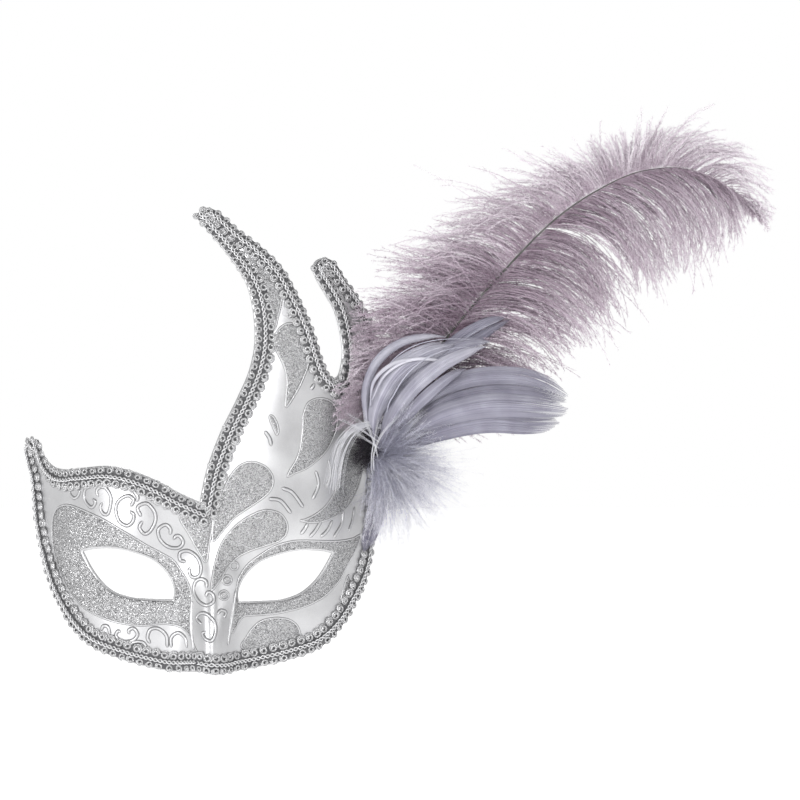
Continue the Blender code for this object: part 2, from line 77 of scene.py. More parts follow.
# ---- the shell's edge, stretch by stretch, as (x, z) ----
BROW: Pairs = [
    (-88.5, 66.5), (-85, 59), (-80, 54), (-73, 52), (-63, 53), (-50, 54), (-38, 52), (-25, 47),
    (-13, 40.5), (-3, 36),
]
FLAME_LEFT: Pairs = [
    (-3, 36), (0.5, 52.5), (7, 70.5), (15.5, 88), (22, 103.5), (24.5, 120), (22, 140), (16.5, 152.5),
    (8, 164), (-1.5, 175.5), (-5, 180.5),
]
FLAME_RIGHT: Pairs = [
    (-5, 180.5), (0, 183.5), (5.5, 181.5), (16, 172.5), (27.5, 164), (37.5, 154), (44.5, 142), (50, 130.5),
    (54, 119.5), (58, 106.5), (61, 100), (63.5, 98),
]
HORN_INNER: Pairs = [
    (63.5, 98), (66.5, 100), (68.5, 110), (67.5, 120), (64.5, 132), (60.5, 139.5), (56, 147), (53, 153.5),
]
HORN_OUTER: Pairs = [
    (53, 153.5), (55, 157.5), (59.5, 159), (64, 156), (69.5, 147), (76, 137.5), (81.5, 126.5), (85, 112.5),
    (86.5, 95), (86, 77.5), (85, 60), (84, 37.5), (82.5, 15),
]
RIGHT_CHEEK: Pairs = [
    (82.5, 15), (80, 0), (74.5, -13.5), (66.5, -27.5), (56, -37.5), (42, -42.5), (27, -46), (15, -48),
    (6, -49.5), (-3, -48),
]
LEFT_CHEEK: Pairs = [
    (-3, -48), (-15.5, -48.5), (-28, -46.5), (-43, -42.5), (-58, -36.5), (-68, -26.5), (-77, -11),
    (-83, 6), (-87, 24), (-89, 42.5), (-90.5, 57.5), (-91, 65), (-88.5, 66.5),
]
STRETCHES = {
    "brow_braid": BROW, "flame_left_braid": FLAME_LEFT, "flame_right_braid": FLAME_RIGHT,
    "horn_inner_braid": HORN_INNER, "horn_outer_braid": HORN_OUTER, "right_cheek_braid": RIGHT_CHEEK,
    "left_cheek_braid": LEFT_CHEEK,
}
RUN_ON = {
    "brow_braid": (0.0, 5.5), "flame_left_braid": (5.5, 0.0), "flame_right_braid": (0.0, 3.0),
    "horn_inner_braid": (3.0, 0.0),
}
EYE_UPPER: Pairs = [
    (-63.5, 11.5), (-58, 12.75), (-48, 13.25), (-38, 11.5), (-28, 8), (-21.5, 3), (-17.5, -3), (-16, -8.5),
    (-16.5, -12.5),
]
EYE_LOWER: Pairs = [
    (-16.5, -12.5), (-28, -12.25), (-38, -11.5), (-47, -8.5), (-54, -3), (-59, 3.5), (-63.5, 11.5),
]
LEFT_EYE_DROP = 1.0
FORWARD = np.array([0.0, -1.0, 0.0])
SPRAY_SIDE_EDGE = 0.086


def mm(values: object) -> np.ndarray:
    """Turns millimetres into metres.

    Args:
        values: numbers, or lists of numbers, in millimetres.

    Returns:
        The same shape of numbers as an array in metres.
    """
    return np.asarray(values, float) * 0.001


def unit(vectors: np.ndarray) -> np.ndarray:
    """Scales vectors along the last axis to length one.

    Args:
        vectors: any array whose last axis holds a vector's parts.

    Returns:
        The scaled vectors.
    """
    return vectors / np.maximum(np.linalg.norm(vectors, axis=-1, keepdims=True), 1e-12)


def smooth_line(points: object, step: float, closed: bool = False) -> np.ndarray:
    """Draws a smooth curve through points.

    Args:
        points: the points to pass through, in metres, two or three numbers each.
        step: about how far apart the curve's own points lie.
        closed: True if the last point runs on to the first.

    Returns:
        The curve's points; a closed curve doesn't repeat its first one.
    """
    known = np.asarray(points, float)
    if closed:
        ends = np.vstack([known[-1], known, known[0], known[1]])
    else:
        ends = np.vstack([2 * known[0] - known[1], known, 2 * known[-1] - known[-2]])
    line = []
    for a, b, c, d in zip(ends, ends[1:], ends[2:], ends[3:]):
        count = max(1, round(float(np.linalg.norm(c - b)) / step))
        t = (np.arange(count) / count)[:, None]
        line.append(0.5 * (2 * b + (c - a) * t + (2 * a - 5 * b + 4 * c - d) * t**2
                           + (3 * b - a - 3 * c + d) * t**3))
    if not closed:
        line.append(known[-1:])
    return np.vstack(line)


def line_lengths(line: np.ndarray) -> np.ndarray:
    """Gives each point's distance along a line from its start.

    Args:
        line: the line's points.

    Returns:
        One distance for each point.
    """
    return np.concatenate([[0.0], np.cumsum(np.linalg.norm(np.diff(line, axis=0), axis=1))])


def at_lengths(line: np.ndarray, wanted: np.ndarray) -> np.ndarray:
    """Reads points on a line.

    Args:
        line: the line's points.
        wanted: distances from its start.

    Returns:
        The points at those distances.
    """
    gone = line_lengths(line)
    return np.stack([np.interp(wanted, gone, line[:, i]) for i in range(line.shape[1])], axis=1)


def at_shares(line: np.ndarray, shares: np.ndarray) -> np.ndarray:
    """Reads points on a line.

    Args:
        line: the line's points.
        shares: shares of its length, from 0 to 1.

    Returns:
        The points at those shares.
    """
    return at_lengths(line, np.asarray(shares) * line_lengths(line)[-1])


def directions(line: np.ndarray) -> np.ndarray:
    """Gives a line's unit direction at each of its points.

    Args:
        line: the line's points.

    Returns:
        One direction for each point.
    """
    return unit(np.gradient(line, axis=0))


def within(points: np.ndarray, loop: np.ndarray) -> np.ndarray:
    """Says which points lie inside a closed loop.

    Args:
        points: (x, z) places.
        loop: the loop's (x, z) corners in order.

    Returns:
        One True or False for each point.
    """
    a, b = loop, np.roll(loop, -1, axis=0)
    x, z = points[:, :1], points[:, 1:]
    crosses = (a[:, 1] > z) != (b[:, 1] > z)
    rise = np.where(np.abs(b[:, 1] - a[:, 1]) < 1e-15, 1e-15, b[:, 1] - a[:, 1])
    left = x < (b[:, 0] - a[:, 0]) * (z - a[:, 1]) / rise + a[:, 0]
    return (crosses & left).sum(axis=1) % 2 == 1


def clearance(points: np.ndarray, loop: np.ndarray) -> np.ndarray:
    """Gives each point's distance to the nearest corner of a loop.

    Args:
        points: the (x, z) places.
        loop: the loop's (x, z) corners.

    Returns:
        One distance for each point.
    """
    return np.min(np.linalg.norm(points[:, None] - loop[None], axis=2), axis=1)


def triangulate(loops: list[np.ndarray], spacing: float) -> tuple[np.ndarray, np.ndarray]:
    """Fills the first loop, less the others, with even triangles.

    Args:
        loops: the outer edge, then the edges of any holes, as (x, z) corners.
        spacing: how far apart the inner points lie.

    Returns:
        The (x, z) points and the triangles between them.
    """
    edge, holes = loops[0], loops[1:]
    low, high = edge.min(0), edge.max(0)
    rows = np.arange(low[1], high[1], spacing * 0.866)
    grid = []
    for i, z in enumerate(rows):
        xs = np.arange(low[0] + 0.5 * spacing * (i % 2), high[0], spacing)
        grid.append(np.stack([xs, np.full_like(xs, z)], axis=1))
    inner = np.vstack(grid)
    keep = within(inner, edge) & (clearance(inner, edge) > 0.6 * spacing)
    for hole in holes:
        keep &= ~within(inner, hole) & (clearance(inner, hole) > 0.6 * spacing)
    points, links = [], []
    for loop in loops:
        first = len(points)
        points += [Vector(p) for p in loop]
        links += [(first + i, first + (i + 1) % len(loop)) for i in range(len(loop))]
    points += [Vector(p) for p in inner[keep]]
    within_edge = 1
    flat, _, faces, *_ = delaunay_2d_cdt(points, links, [], within_edge, 1e-8)
    flat = np.array([tuple(p) for p in flat])
    faces = np.array(faces)
    middle = flat[faces].mean(axis=1)
    keep = within(middle, edge)
    for hole in holes:
        keep &= ~within(middle, hole)
    faces = faces[keep]
    a, b, c = (flat[faces[:, i]] for i in range(3))
    turn = (b[:, 0] - a[:, 0]) * (c[:, 1] - a[:, 1]) - (b[:, 1] - a[:, 1]) * (c[:, 0] - a[:, 0])
    faces[turn < 0] = faces[turn < 0][:, ::-1]
    return flat, faces


def ring_quads(rings: int, around: int, closed: bool = False) -> np.ndarray:
    """Numbers the quads that join rings of points.

    Args:
        rings: how many rings there are.
        around: points in a ring.
        closed: True if the last ring runs on to the first.

    Returns:
        The quads' corners, ring by ring.
    """
    here, j = np.arange(rings if closed else rings - 1)[:, None], np.arange(around)[None]
    after, following = (here + 1) % rings, (j + 1) % around
    return np.stack(np.broadcast_arrays(
        here * around + j, after * around + j, after * around + following, here * around + following
    ), axis=-1).reshape(-1, 4)


def make_mesh(
    name: str,
    points: np.ndarray,
    faces: list[np.ndarray],
    values: dict[str, np.ndarray] | None = None,
    slots: np.ndarray | None = None,
) -> bpy.types.Mesh:
    """Makes a smooth-shaded mesh from arrays.

    Args:
        name: the mesh's name.
        points: the vertices, in metres.
        faces: arrays of corner numbers, each array holding faces of one size.
        values: numbers for each vertex, kept as named attributes.
        slots: each face's material number.

    Returns:
        The new mesh.
    """
    mesh = bpy.data.meshes.new(name)
    mesh.vertices.add(len(points))
    mesh.vertices.foreach_set("co", np.asarray(points, np.float32).ravel())
    sizes = np.concatenate([np.full(len(f), f.shape[1]) for f in faces])
    corners = np.concatenate([f.ravel() for f in faces])
    mesh.loops.add(len(corners))
    mesh.loops.foreach_set("vertex_index", corners.astype(np.int32))
    mesh.polygons.add(len(sizes))
    starts = np.concatenate([[0], np.cumsum(sizes)[:-1]])
    mesh.polygons.foreach_set("loop_start", starts.astype(np.int32))
    if slots is not None:
        mesh.polygons.foreach_set("material_index", np.asarray(slots, np.int32))
    mesh.update(calc_edges=True)
    for key, numbers in (values or {}).items():
        layer = mesh.attributes.new(key, "FLOAT", "POINT")
        layer.data.foreach_set("value", np.asarray(numbers, np.float32).ravel())
    mesh.shade_smooth()
    return mesh


def place(
    mesh: bpy.types.Mesh,
    body: str,
    materials: list[bpy.types.Material],
    replaced: tuple[str, ...] = (),
) -> bpy.types.Object:
    """Turns a mesh into a piece of the mask.

    Args:
        mesh: the finished mesh, whose name the piece takes.
        body: the body that the piece rides on.
        materials: the piece's materials, in the order of its faces' numbers.
        replaced: the frame's nodes that the piece stands for.

    Returns:
        The new object.
    """
    piece = bpy.data.objects.new(mesh.name, mesh)
    if not mesh.materials:
        for finish in materials:
            mesh.materials.append(finish)
    bpy.context.scene.collection.objects.link(piece)
    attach(piece, body)
    if replaced:
        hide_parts(*replaced)
    LOG.info("%s: %d faces on %s", piece.name, len(mesh.polygons), body)
    return piece


# ---------------------------------------------------------------- the moulded form


@dataclass(frozen=True)
class MaskForm:
    """The curved surface that the shell is moulded on, given as depth over (x, z)."""

    thickness: float = 0.0016
    wrap_square: float = 1.6
    wrap_quartic: float = 700.0
    flame_flatten: float = 0.35
    flame_start: float = 0.040
    flame_end: float = 0.120
    forehead_lean: float = 0.54
    cheek_tuck: float = 1.2
    socket_depth: float = 0.0035
    socket_x: float = 0.040
    socket_half_width: float = 0.024
    socket_half_height: float = 0.014
    nose_x: float = 0.0030
    nose_half_width: float = 0.0115
    nose_rise: float = 0.0165
    nose_top: float = 0.030
    nose_foot: float = -0.049

    def raw(self, x: np.ndarray, z: np.ndarray) -> np.ndarray:
        """Gives the front face's depth before it is moved onto the datum.

        Args:
            x: places across the face.
            z: places up the face.

        Returns:
            The depth over each place.
        """
        grow = np.clip((z - self.flame_start) / (self.flame_end - self.flame_start), 0, 1)
        flatten = 1 - self.flame_flatten * grow * grow * (3 - 2 * grow)
        wrap = (self.wrap_square * x**2 + self.wrap_quartic * x**4) * flatten
        tilt = np.where(z > 0, self.forehead_lean, self.cheek_tuck) * z**2
        sockets = sum(
            np.exp(-(((x - side * self.socket_x) / self.socket_half_width) ** 2)
                   - (z / self.socket_half_height) ** 2)
            for side in (-1, 1)
        )
        fall = np.clip((self.nose_top - z) / (self.nose_top - self.nose_foot), 0, 1)
        nose = fall * fall * (3 - 2 * fall) * np.exp(-(((x - self.nose_x) / self.nose_half_width) ** 2))
        return wrap + tilt + self.socket_depth * sockets - self.nose_rise * nose

    def normal(self, flat: np.ndarray) -> np.ndarray:
        """Gives the front face's outward normal.

        Args:
            flat: the places, as (x, z) rows.

        Returns:
            The normal over each place.
        """
        x, z, h = flat[:, 0], flat[:, 1], 0.0002
        slope_x = (self.raw(x + h, z) - self.raw(x - h, z)) / (2 * h)
        slope_z = (self.raw(x, z + h) - self.raw(x, z - h)) / (2 * h)
        return unit(np.stack([slope_x, -np.ones_like(x), slope_z], axis=1))

    def point(self, flat: np.ndarray, lift: object = 0.0) -> np.ndarray:
        """Gives the points of the front face over (x, z).

        Args:
            flat: the places, as (x, z) rows.
            lift: how far the points stand off the face, along its normal.

        Returns:
            The points in space.
        """
        datum = float(self.raw(np.zeros(1), np.zeros(1))[0]) + self.thickness
        depth = self.raw(flat[:, 0], flat[:, 1]) - datum
        on_face = np.stack([flat[:, 0], depth, flat[:, 1]], axis=1)
        return on_face + self.normal(flat) * np.reshape(lift, (-1, 1))

    def eye_hole(self, side: int, step: float) -> np.ndarray:
        """Draws the edge of an eye hole.

        Args:
            side: -1 for the wearer's right eye, 1 for the left.
            step: how far apart the edge's points lie.

        Returns:
            The edge as a closed loop of (x, z).
        """
        loop = np.vstack([smooth_line(mm(half), step)[:-1] for half in (EYE_UPPER, EYE_LOWER)])
        drop = mm(LEFT_EYE_DROP) if side > 0 else 0.0
        return np.stack([-side * loop[:, 0], loop[:, 1] - drop], axis=1)

    def outline(self, step: float) -> np.ndarray:
        """Draws the shell's whole edge.

        Args:
            step: how far apart its points lie.

        Returns:
            The edge as a closed loop of (x, z).
        """
        return np.vstack([smooth_line(mm(s), step)[:-1] for s in STRETCHES.values()])


def solid_sheet(
    form: MaskForm, flat: np.ndarray, faces: np.ndarray, top: float, bottom: float, bulge: float
) -> tuple[np.ndarray, list[np.ndarray], np.ndarray]:
    """Gives a flat triangulation its place on the form and a closed wall.

    Args:
        form: the moulded form.
        flat: the (x, z) points.
        faces: the triangles, counter-clockwise seen from the front.
        top: the front's height over the form.
        bottom: the back's height over the form.
        bulge: how far the rim rounds out.

    Returns:
        The points, the faces and each face's side: 0 in front and on the rim, 1 behind.
    """
    count = len(flat)
    pairs = np.vstack([faces[:, [0, 1]], faces[:, [1, 2]], faces[:, [2, 0]]])
    key = pairs[:, 0].astype(np.int64) * count + pairs[:, 1]
    back_key = pairs[:, 1].astype(np.int64) * count + pairs[:, 0]
    rim = pairs[~np.isin(key, back_key)]
    onward = dict(rim.tolist())
    order = np.array(sorted(onward))
    after = np.array([onward[i] for i in order])
    before = np.zeros(count, int)
    before[after] = order
    along = unit(flat[after] - flat[before[order]])
    outward = np.stack([along[:, 1], -along[:, 0]], axis=1)
    middle = form.point(flat[order] + outward * bulge, (top + bottom) / 2)
    points = np.vstack([form.point(flat, top), form.point(flat, bottom), middle])
    slot_of = np.full(count, -1)
    slot_of[order] = np.arange(len(order)) + 2 * count
    here, there = rim[:, 0], rim[:, 1]
    front_rim = np.stack([there, here, slot_of[here], slot_of[there]], axis=1)
    back_rim = np.stack([slot_of[there], slot_of[here], here + count, there + count], axis=1)
    sides = np.concatenate([np.zeros(len(faces)), np.ones(len(faces)), np.zeros(2 * len(rim))])
    return points, [faces, faces[:, ::-1] + count, front_rim, back_rim], sides


# ---------------------------------------------------------------- node trees and finishes

Colour = tuple[float, float, float]
NUMBER, COLOUR, GEOMETRY = "NodeSocketFloat", "NodeSocketColor", "NodeSocketGeometry"


class NodeSheet:
    """A node tree, with short ways to add nodes and fill their inputs."""

    def __init__(self, tree: bpy.types.NodeTree) -> None:
        """Starts work on a tree.

        Args:
            tree: a shader or geometry tree.
        """
        self.tree = tree

    def fill(self, socket: bpy.types.NodeSocket, value: object) -> None:
        """Links an input, or sets it.

        Args:
            socket: the input.
            value: an output, a node whose first output is meant, or a plain value.
        """
        if isinstance(value, bpy.types.Node):
            value = value.outputs[0]
        if isinstance(value, bpy.types.NodeSocket):
            self.tree.links.new(value, socket)
        else:
            socket.default_value = value

    def add(
        self, kind: str, given: dict[object, object] | None = None, **settings: object
    ) -> bpy.types.Node:
        """Adds a node.

        Args:
            kind: the node's type.
            given: what goes into its inputs, by their names or numbers; None leaves one alone.
            settings: the node's own properties.

        Returns:
            The new node.
        """
        node = self.tree.nodes.new(kind)
        for key, value in settings.items():
            setattr(node, key, value)
        for key, value in (given or {}).items():
            if value is not None:
                self.fill(node.inputs[key], value)
        return node

    def blend(self, share: object, low: object, high: object) -> bpy.types.NodeSocket:
        """Mixes two colours.

        Args:
            share: how much of the second colour there is, from 0 to 1.
            low: the first colour.
            high: the second colour.

        Returns:
            The mixed colour.
        """
        node = self.add("ShaderNodeMix", {"Factor": share, "A": low, "B": high}, data_type="RGBA")
        return node.outputs["Result"]

    def noise(self, where: object, scale: object, detail: float | None = None) -> bpy.types.NodeSocket:
        """Adds a noise.

        Args:
            where: the place that it is read at.
            scale: how fine it is.
            detail: how many finer layers it has; None leaves the usual number.

        Returns:
            The noise's value.
        """
        given = {"Vector": where, "Scale": scale, "Detail": detail}
        return self.add("ShaderNodeTexNoise", given).outputs["Fac"]


class Effect(Enum):
    """The shader groups that several finishes share."""

    MOTTLE = "fine_mottle"
    STRAND = "strand_tone"
    RIBS = "wound_ribs"


class EffectLibrary:
    """Builds each shared shader group once."""

    def __init__(self) -> None:
        """Starts with no groups built."""
        self.groups: dict[Effect, bpy.types.NodeTree] = {}

    def get(self, effect: Effect) -> bpy.types.NodeTree:
        """Returns the group of an effect, building it on first use.

        Args:
            effect: which group.

        Returns:
            The group's tree.
        """
        if effect not in self.groups:
            makers = {Effect.MOTTLE: self._mottle, Effect.STRAND: self._strand, Effect.RIBS: self._ribs}
            self.groups[effect] = makers[effect]()
        return self.groups[effect]

    @staticmethod
    def _start(effect: Effect, inputs: dict[str, object], outputs: dict[str, str]) -> tuple:
        """Starts a group with its sockets.

        Args:
            effect: the effect, which names the group.
            inputs: each input's default, a number or a colour.
            outputs: each output's socket type.

        Returns:
            The group's sheet, the sockets that bring its inputs and those that take its outputs.
        """
        tree = bpy.data.node_groups.new(effect.value, "ShaderNodeTree")
        for name, default in inputs.items():
            kind = COLOUR if isinstance(default, tuple) else NUMBER
            tree.interface.new_socket(name, in_out="INPUT", socket_type=kind).default_value = default
        for name, kind in outputs.items():
            tree.interface.new_socket(name, in_out="OUTPUT", socket_type=kind)
        sheet = NodeSheet(tree)
        return sheet, sheet.add("NodeGroupInput").outputs, sheet.add("NodeGroupOutput").inputs

    def _mottle(self) -> bpy.types.NodeTree:
        """Soft patches over fine grain, for paint, card, felt and horn.

        Returns:
            The group's tree.
        """
        sheet, given, result = self._start(
            Effect.MOTTLE,
            {"Patch Scale": 60.0, "Grain Scale": 1500.0, "Dark": (0.4, 0.4, 0.4, 1.0),
             "Light": (0.7, 0.7, 0.7, 1.0), "Grain Share": 0.4},
            {"Color": COLOUR, "Patches": NUMBER, "Grain": NUMBER},
        )
        where = sheet.add("ShaderNodeTexCoord").outputs["Object"]
        patches = sheet.noise(where, given["Patch Scale"], 3.0)
        grain = sheet.noise(where, given["Grain Scale"], 2.0)
        both = sheet.add("ShaderNodeMix", {"Factor": given["Grain Share"], "A": patches, "B": grain})
        spread = sheet.add("ShaderNodeMapRange",
                           {"From Min": 0.30, "From Max": 0.70, "Value": both.outputs["Result"]})
        sheet.fill(result["Color"], sheet.blend(spread, given["Dark"], given["Light"]))
        sheet.fill(result["Patches"], patches)
        sheet.fill(result["Grain"], grain)
        return sheet.tree

    def _strand(self) -> bpy.types.NodeTree:
        """The tone that runs along each strand of a feather, from root to tip.

        Returns:
            The group's tree.
        """
        sheet, given, result = self._start(
            Effect.STRAND,
            {"Root": (0.3, 0.3, 0.3, 1.0), "Middle": (0.5, 0.5, 0.5, 1.0), "Tip": (0.8, 0.8, 0.8, 1.0),
             "Patch Scale": 90.0},
            {"Color": COLOUR},
        )
        tone = sheet.add("ShaderNodeAttribute", attribute_name="tone").outputs["Fac"]
        where = sheet.add("ShaderNodeTexCoord").outputs["Object"]
        noise = sheet.noise(where, given["Patch Scale"])
        drift = sheet.add("ShaderNodeMath", {0: noise, 1: 0.5, 2: tone}, operation="MULTIPLY_ADD")
        shifted = sheet.add("ShaderNodeMath", {0: drift, 1: 0.25}, operation="SUBTRACT")
        colour = given["Root"]
        for name, low, high in (("Middle", 0.0, 0.5), ("Tip", 0.5, 1.0)):
            span = sheet.add("ShaderNodeMapRange", {"From Min": low, "From Max": high, "Value": shifted})
            colour = sheet.blend(span, colour, given[name])
        sheet.fill(result["Color"], colour)
        return sheet.tree

    def _ribs(self) -> bpy.types.NodeTree:
        """Fine turns of foil that cross a yarn, counted along its length.

        Returns:
            The group's tree.
        """
        sheet, given, result = self._start(
            Effect.RIBS,
            {"Rib Scale": 500.0, "Dark": (0.2, 0.2, 0.2, 1.0), "Light": (0.9, 0.9, 0.9, 1.0)},
            {"Color": COLOUR, "Height": NUMBER},
        )
        along = sheet.add("ShaderNodeAttribute", attribute_name="along").outputs["Fac"]
        lengthwise = sheet.add("ShaderNodeCombineXYZ", {"X": along})
        waves = sheet.add("ShaderNodeTexWave", {"Vector": lengthwise, "Scale": given["Rib Scale"]})
        wave = waves.outputs["Fac"]
        where = sheet.add("ShaderNodeTexCoord").outputs["Object"]
        cells = sheet.add("ShaderNodeTexVoronoi", {"Vector": where, "Scale": 2600.0}).outputs["Color"]
        glint = sheet.add("ShaderNodeSeparateColor", {0: cells})
        both = sheet.add("ShaderNodeMix", {"Factor": 0.4, "A": wave, "B": glint})
        sheet.fill(result["Color"], sheet.blend(both.outputs["Result"], given["Dark"], given["Light"]))
        sheet.fill(result["Height"], wave)
        return sheet.tree


EFFECTS = EffectLibrary()


class Shading(NodeSheet):
    """A new material and its Principled shader."""

    def __init__(self, name: str, **constants: object) -> None:
        """Makes the material.

        Args:
            name: the material's name.
            constants: values for the shader's sockets, with _ in place of spaces.
        """
        self.material = bpy.data.materials.new(name)
        self.material.use_nodes = True
        super().__init__(self.material.node_tree)
        self.shader = self.tree.nodes["Principled BSDF"]
        for key, value in constants.items():
            self.shader.inputs[key.replace("_", " ")].default_value = value

    def effect(self, effect: Effect, **values: object) -> bpy.types.NodeOutputs:
        """Places a shared group with this material's own values.

        Args:
            effect: which group.
            values: its inputs, with _ in place of spaces; a colour has three numbers.

        Returns:
            The group's outputs.
        """
        node = self.add("ShaderNodeGroup", node_tree=EFFECTS.get(effect))
        for key, value in values.items():
            colour = (*value, 1.0) if isinstance(value, tuple) else value
            node.inputs[key.replace("_", " ")].default_value = colour
        return node.outputs

    def join(self, output: object, socket: str) -> None:
        """Links an output to one of the shader's sockets.

        Args:
            output: the output, or a node whose first output is meant.
            socket: the shader's socket.
        """
        self.fill(self.shader.inputs[socket], output)

    def bump(self, height: bpy.types.NodeSocket, distance: float, strength: float) -> None:
        """Gives the shader a bump.

        Args:
            height: the output that holds the height.
            distance: how high 1 is, in metres.
            strength: the share of the bump that shows.
        """
        self.join(self.add("ShaderNodeBump", {"Distance": distance, "Strength": strength, "Height": height}),
                  "Normal")

    def roughen(self, value: bpy.types.NodeSocket, low: float, high: float) -> None:
        """Spreads a mask over a range of roughness.

        Args:
            value: the output that holds the mask.
            low: the roughness at the mask's usual lower end, 0.25.
            high: the roughness at its usual upper end, 0.75.
        """
        self.join(self.add("ShaderNodeMapRange", {"From Min": 0.25, "From Max": 0.75, "To Min": low,
                                                  "To Max": high, "Value": value}), "Roughness")


@dataclass(frozen=True)
class SilverPaint:
    """Pearly satin silver sprayed on the moulded shell, with painted shade at the feet of the raised lines.
    """

    dark: Colour = (0.46, 0.46, 0.47)
    light: Colour = (0.66, 0.66, 0.67)
    painted_shade: Colour = (0.13, 0.13, 0.135)
    metallic: float = 0.55
    grain_height: float = 0.00003

    def make(self) -> bpy.types.Material:
        """Makes the paint.

        Returns:
            The new material.
        """
        paint = Shading("silver_paint", Metallic=self.metallic, Coat_Weight=0.2, Coat_Roughness=0.2)
        mottle = paint.effect(Effect.MOTTLE, Patch_Scale=45.0, Grain_Scale=2600.0, Grain_Share=0.30,
                              Dark=self.dark, Light=self.light)
        # painted shade: this mask mixes a near-black colour into the paint where the beads meet the shell
        painted_shade = paint.add("ShaderNodeAttribute", attribute_name="painted_shade").outputs["Fac"]
        paint.join(paint.blend(painted_shade, mottle["Color"], (*self.painted_shade, 1.0)), "Base Color")
        paint.roughen(mottle["Patches"], 0.26, 0.38)
        paint.bump(mottle["Grain"], self.grain_height, 0.6)
        return paint.material


@dataclass(frozen=True)
class RawCard:
    """The unpainted, slightly fibrous inner face of the shell."""

    dark: Colour = (0.50, 0.49, 0.47)
    light: Colour = (0.72, 0.71, 0.69)

    def make(self) -> bpy.types.Material:
        """Makes the bare surface.

        Returns:
            The new material.
        """
        card = Shading("raw_inner_face", Roughness=0.85)
        mottle = card.effect(Effect.MOTTLE, Patch_Scale=120.0, Grain_Scale=1400.0, Grain_Share=0.5,
                             Dark=self.dark, Light=self.light)
        card.join(mottle["Color"], "Base Color")
        card.bump(mottle["Grain"], 0.00012, 0.7)
        return card.material


@dataclass(frozen=True)
class Glitter:
    """Silver flakes set in clear glue, each with its own brightness, gloss and tilt."""

    flake: float = 0.00023
    tilt: float = 0.9
    dark: Colour = (0.075, 0.075, 0.08)
    light: Colour = (0.84, 0.84, 0.85)
    gloss: tuple[float, float] = (0.18, 0.55)

    def make(self) -> bpy.types.Material:
        """Makes the glitter.

        Returns:
            The new material.
        """
        flakes = Shading("silver_glitter", Metallic=0.6)
        where = flakes.add("ShaderNodeTexCoord").outputs["Object"]
        grid = flakes.add("ShaderNodeTexVoronoi", {"Vector": where, "Scale": 1 / self.flake})
        cells = grid.outputs["Color"]
        parts = flakes.add("ShaderNodeSeparateColor", {0: cells}).outputs
        bright = flakes.add("ShaderNodeMath", {0: parts[0], 1: 1.5}, operation="POWER")
        flakes.join(flakes.blend(bright, (*self.dark, 1.0), (*self.light, 1.0)), "Base Color")
        centred = flakes.add("ShaderNodeVectorMath", {0: cells, 1: (0.5, 0.5, 0.5)}, operation="SUBTRACT")
        tilted = flakes.add("ShaderNodeVectorMath", {0: centred, "Scale": self.tilt}, operation="SCALE")
        facing = flakes.add("ShaderNodeNewGeometry").outputs["Normal"]
        leaning = flakes.add("ShaderNodeVectorMath", {0: facing, 1: tilted})
        flakes.join(flakes.add("ShaderNodeVectorMath", {0: leaning}, operation="NORMALIZE"), "Normal")
        flakes.join(flakes.add("ShaderNodeMapRange", {"To Min": self.gloss[0], "To Max": self.gloss[1],
                                                      "Value": parts[1]}), "Roughness")
        return flakes.material


@dataclass(frozen=True)
class Lurex:
    """Flat metallic yarn wound round a core, so that fine ribs cross it."""

    name: str
    dark: Colour
    light: Colour
    rib_scale: float = 520.0

    def make(self) -> bpy.types.Material:
        """Makes the yarn.

        Returns:
            The new material.
        """
        yarn = Shading(self.name, Metallic=0.6)
        ribs = yarn.effect(Effect.RIBS, Rib_Scale=self.rib_scale, Dark=self.dark, Light=self.light)
        yarn.join(ribs["Color"], "Base Color")
        yarn.roughen(ribs["Height"], 0.42, 0.26)
        yarn.bump(ribs["Height"], 0.00010, 0.9)
        return yarn.material


@dataclass(frozen=True)
class Plumage:
    """Feather strands, whose tone runs from root to tip."""

    name: str
    root: Colour
    middle: Colour
    tip: Colour
    roughness: float = 0.55
    sheen: float = 0.25

    def make(self) -> bpy.types.Material:
        """Makes the strands' finish.

        Returns:
            The new material.
        """
        strands = Shading(self.name, Sheen_Weight=self.sheen, Sheen_Roughness=0.4,
                          Specular_IOR_Level=0.25, Roughness=self.roughness)
        tone = strands.effect(Effect.STRAND, Root=self.root, Middle=self.middle, Tip=self.tip)
        strands.join(tone["Color"], "Base Color")
        return strands.material


@dataclass(frozen=True)
class Mottled:
    """A plain matt stuff such as felt, waxed thread or horn."""

    name: str
    dark: Colour
    light: Colour
    roughness: tuple[float, float] = (0.8, 0.95)
    patch_scale: float = 200.0
    grain_scale: float = 2500.0
    grain_height: float = 0.0001

    def make(self) -> bpy.types.Material:
        """Makes the finish.

        Returns:
            The new material.
        """
        stuff = Shading(self.name)
        mottle = stuff.effect(Effect.MOTTLE, Patch_Scale=self.patch_scale, Grain_Scale=self.grain_scale,
                              Dark=self.dark, Light=self.light)
        stuff.join(mottle["Color"], "Base Color")
        stuff.roughen(mottle["Patches"], *self.roughness)
        stuff.bump(mottle["Grain"], self.grain_height, 0.8)
        return stuff.material


# ---------------------------------------------------------------- the shell and its decoration


@dataclass
class Shell:
    """The moulded shell with its rounded eye holes."""

    form: MaskForm
    spacing: float = 0.0013
    edge_step: float = 0.0011
    rim_bulge: float = 0.00045

    def build(self) -> None:
        """Makes the shell, painted in front and bare behind."""
        loops = [self.form.outline(self.edge_step)]
        loops += [self.form.eye_hole(side, self.edge_step) for side in (-1, 1)]
        flat, faces = triangulate(loops, self.spacing)
        points, walls, sides = solid_sheet(self.form, flat, faces, 0.0, -self.form.thickness, self.rim_bulge)
        # the shell itself gets no painted shade; only the beads do
        mesh = make_mesh("mask_shell_moulding", points, walls, {"painted_shade": np.zeros(len(points))}, sides)
        finishes = [SilverPaint().make(), RawCard().make()]
        place(mesh, ROOT, finishes, ("mask_shell",))


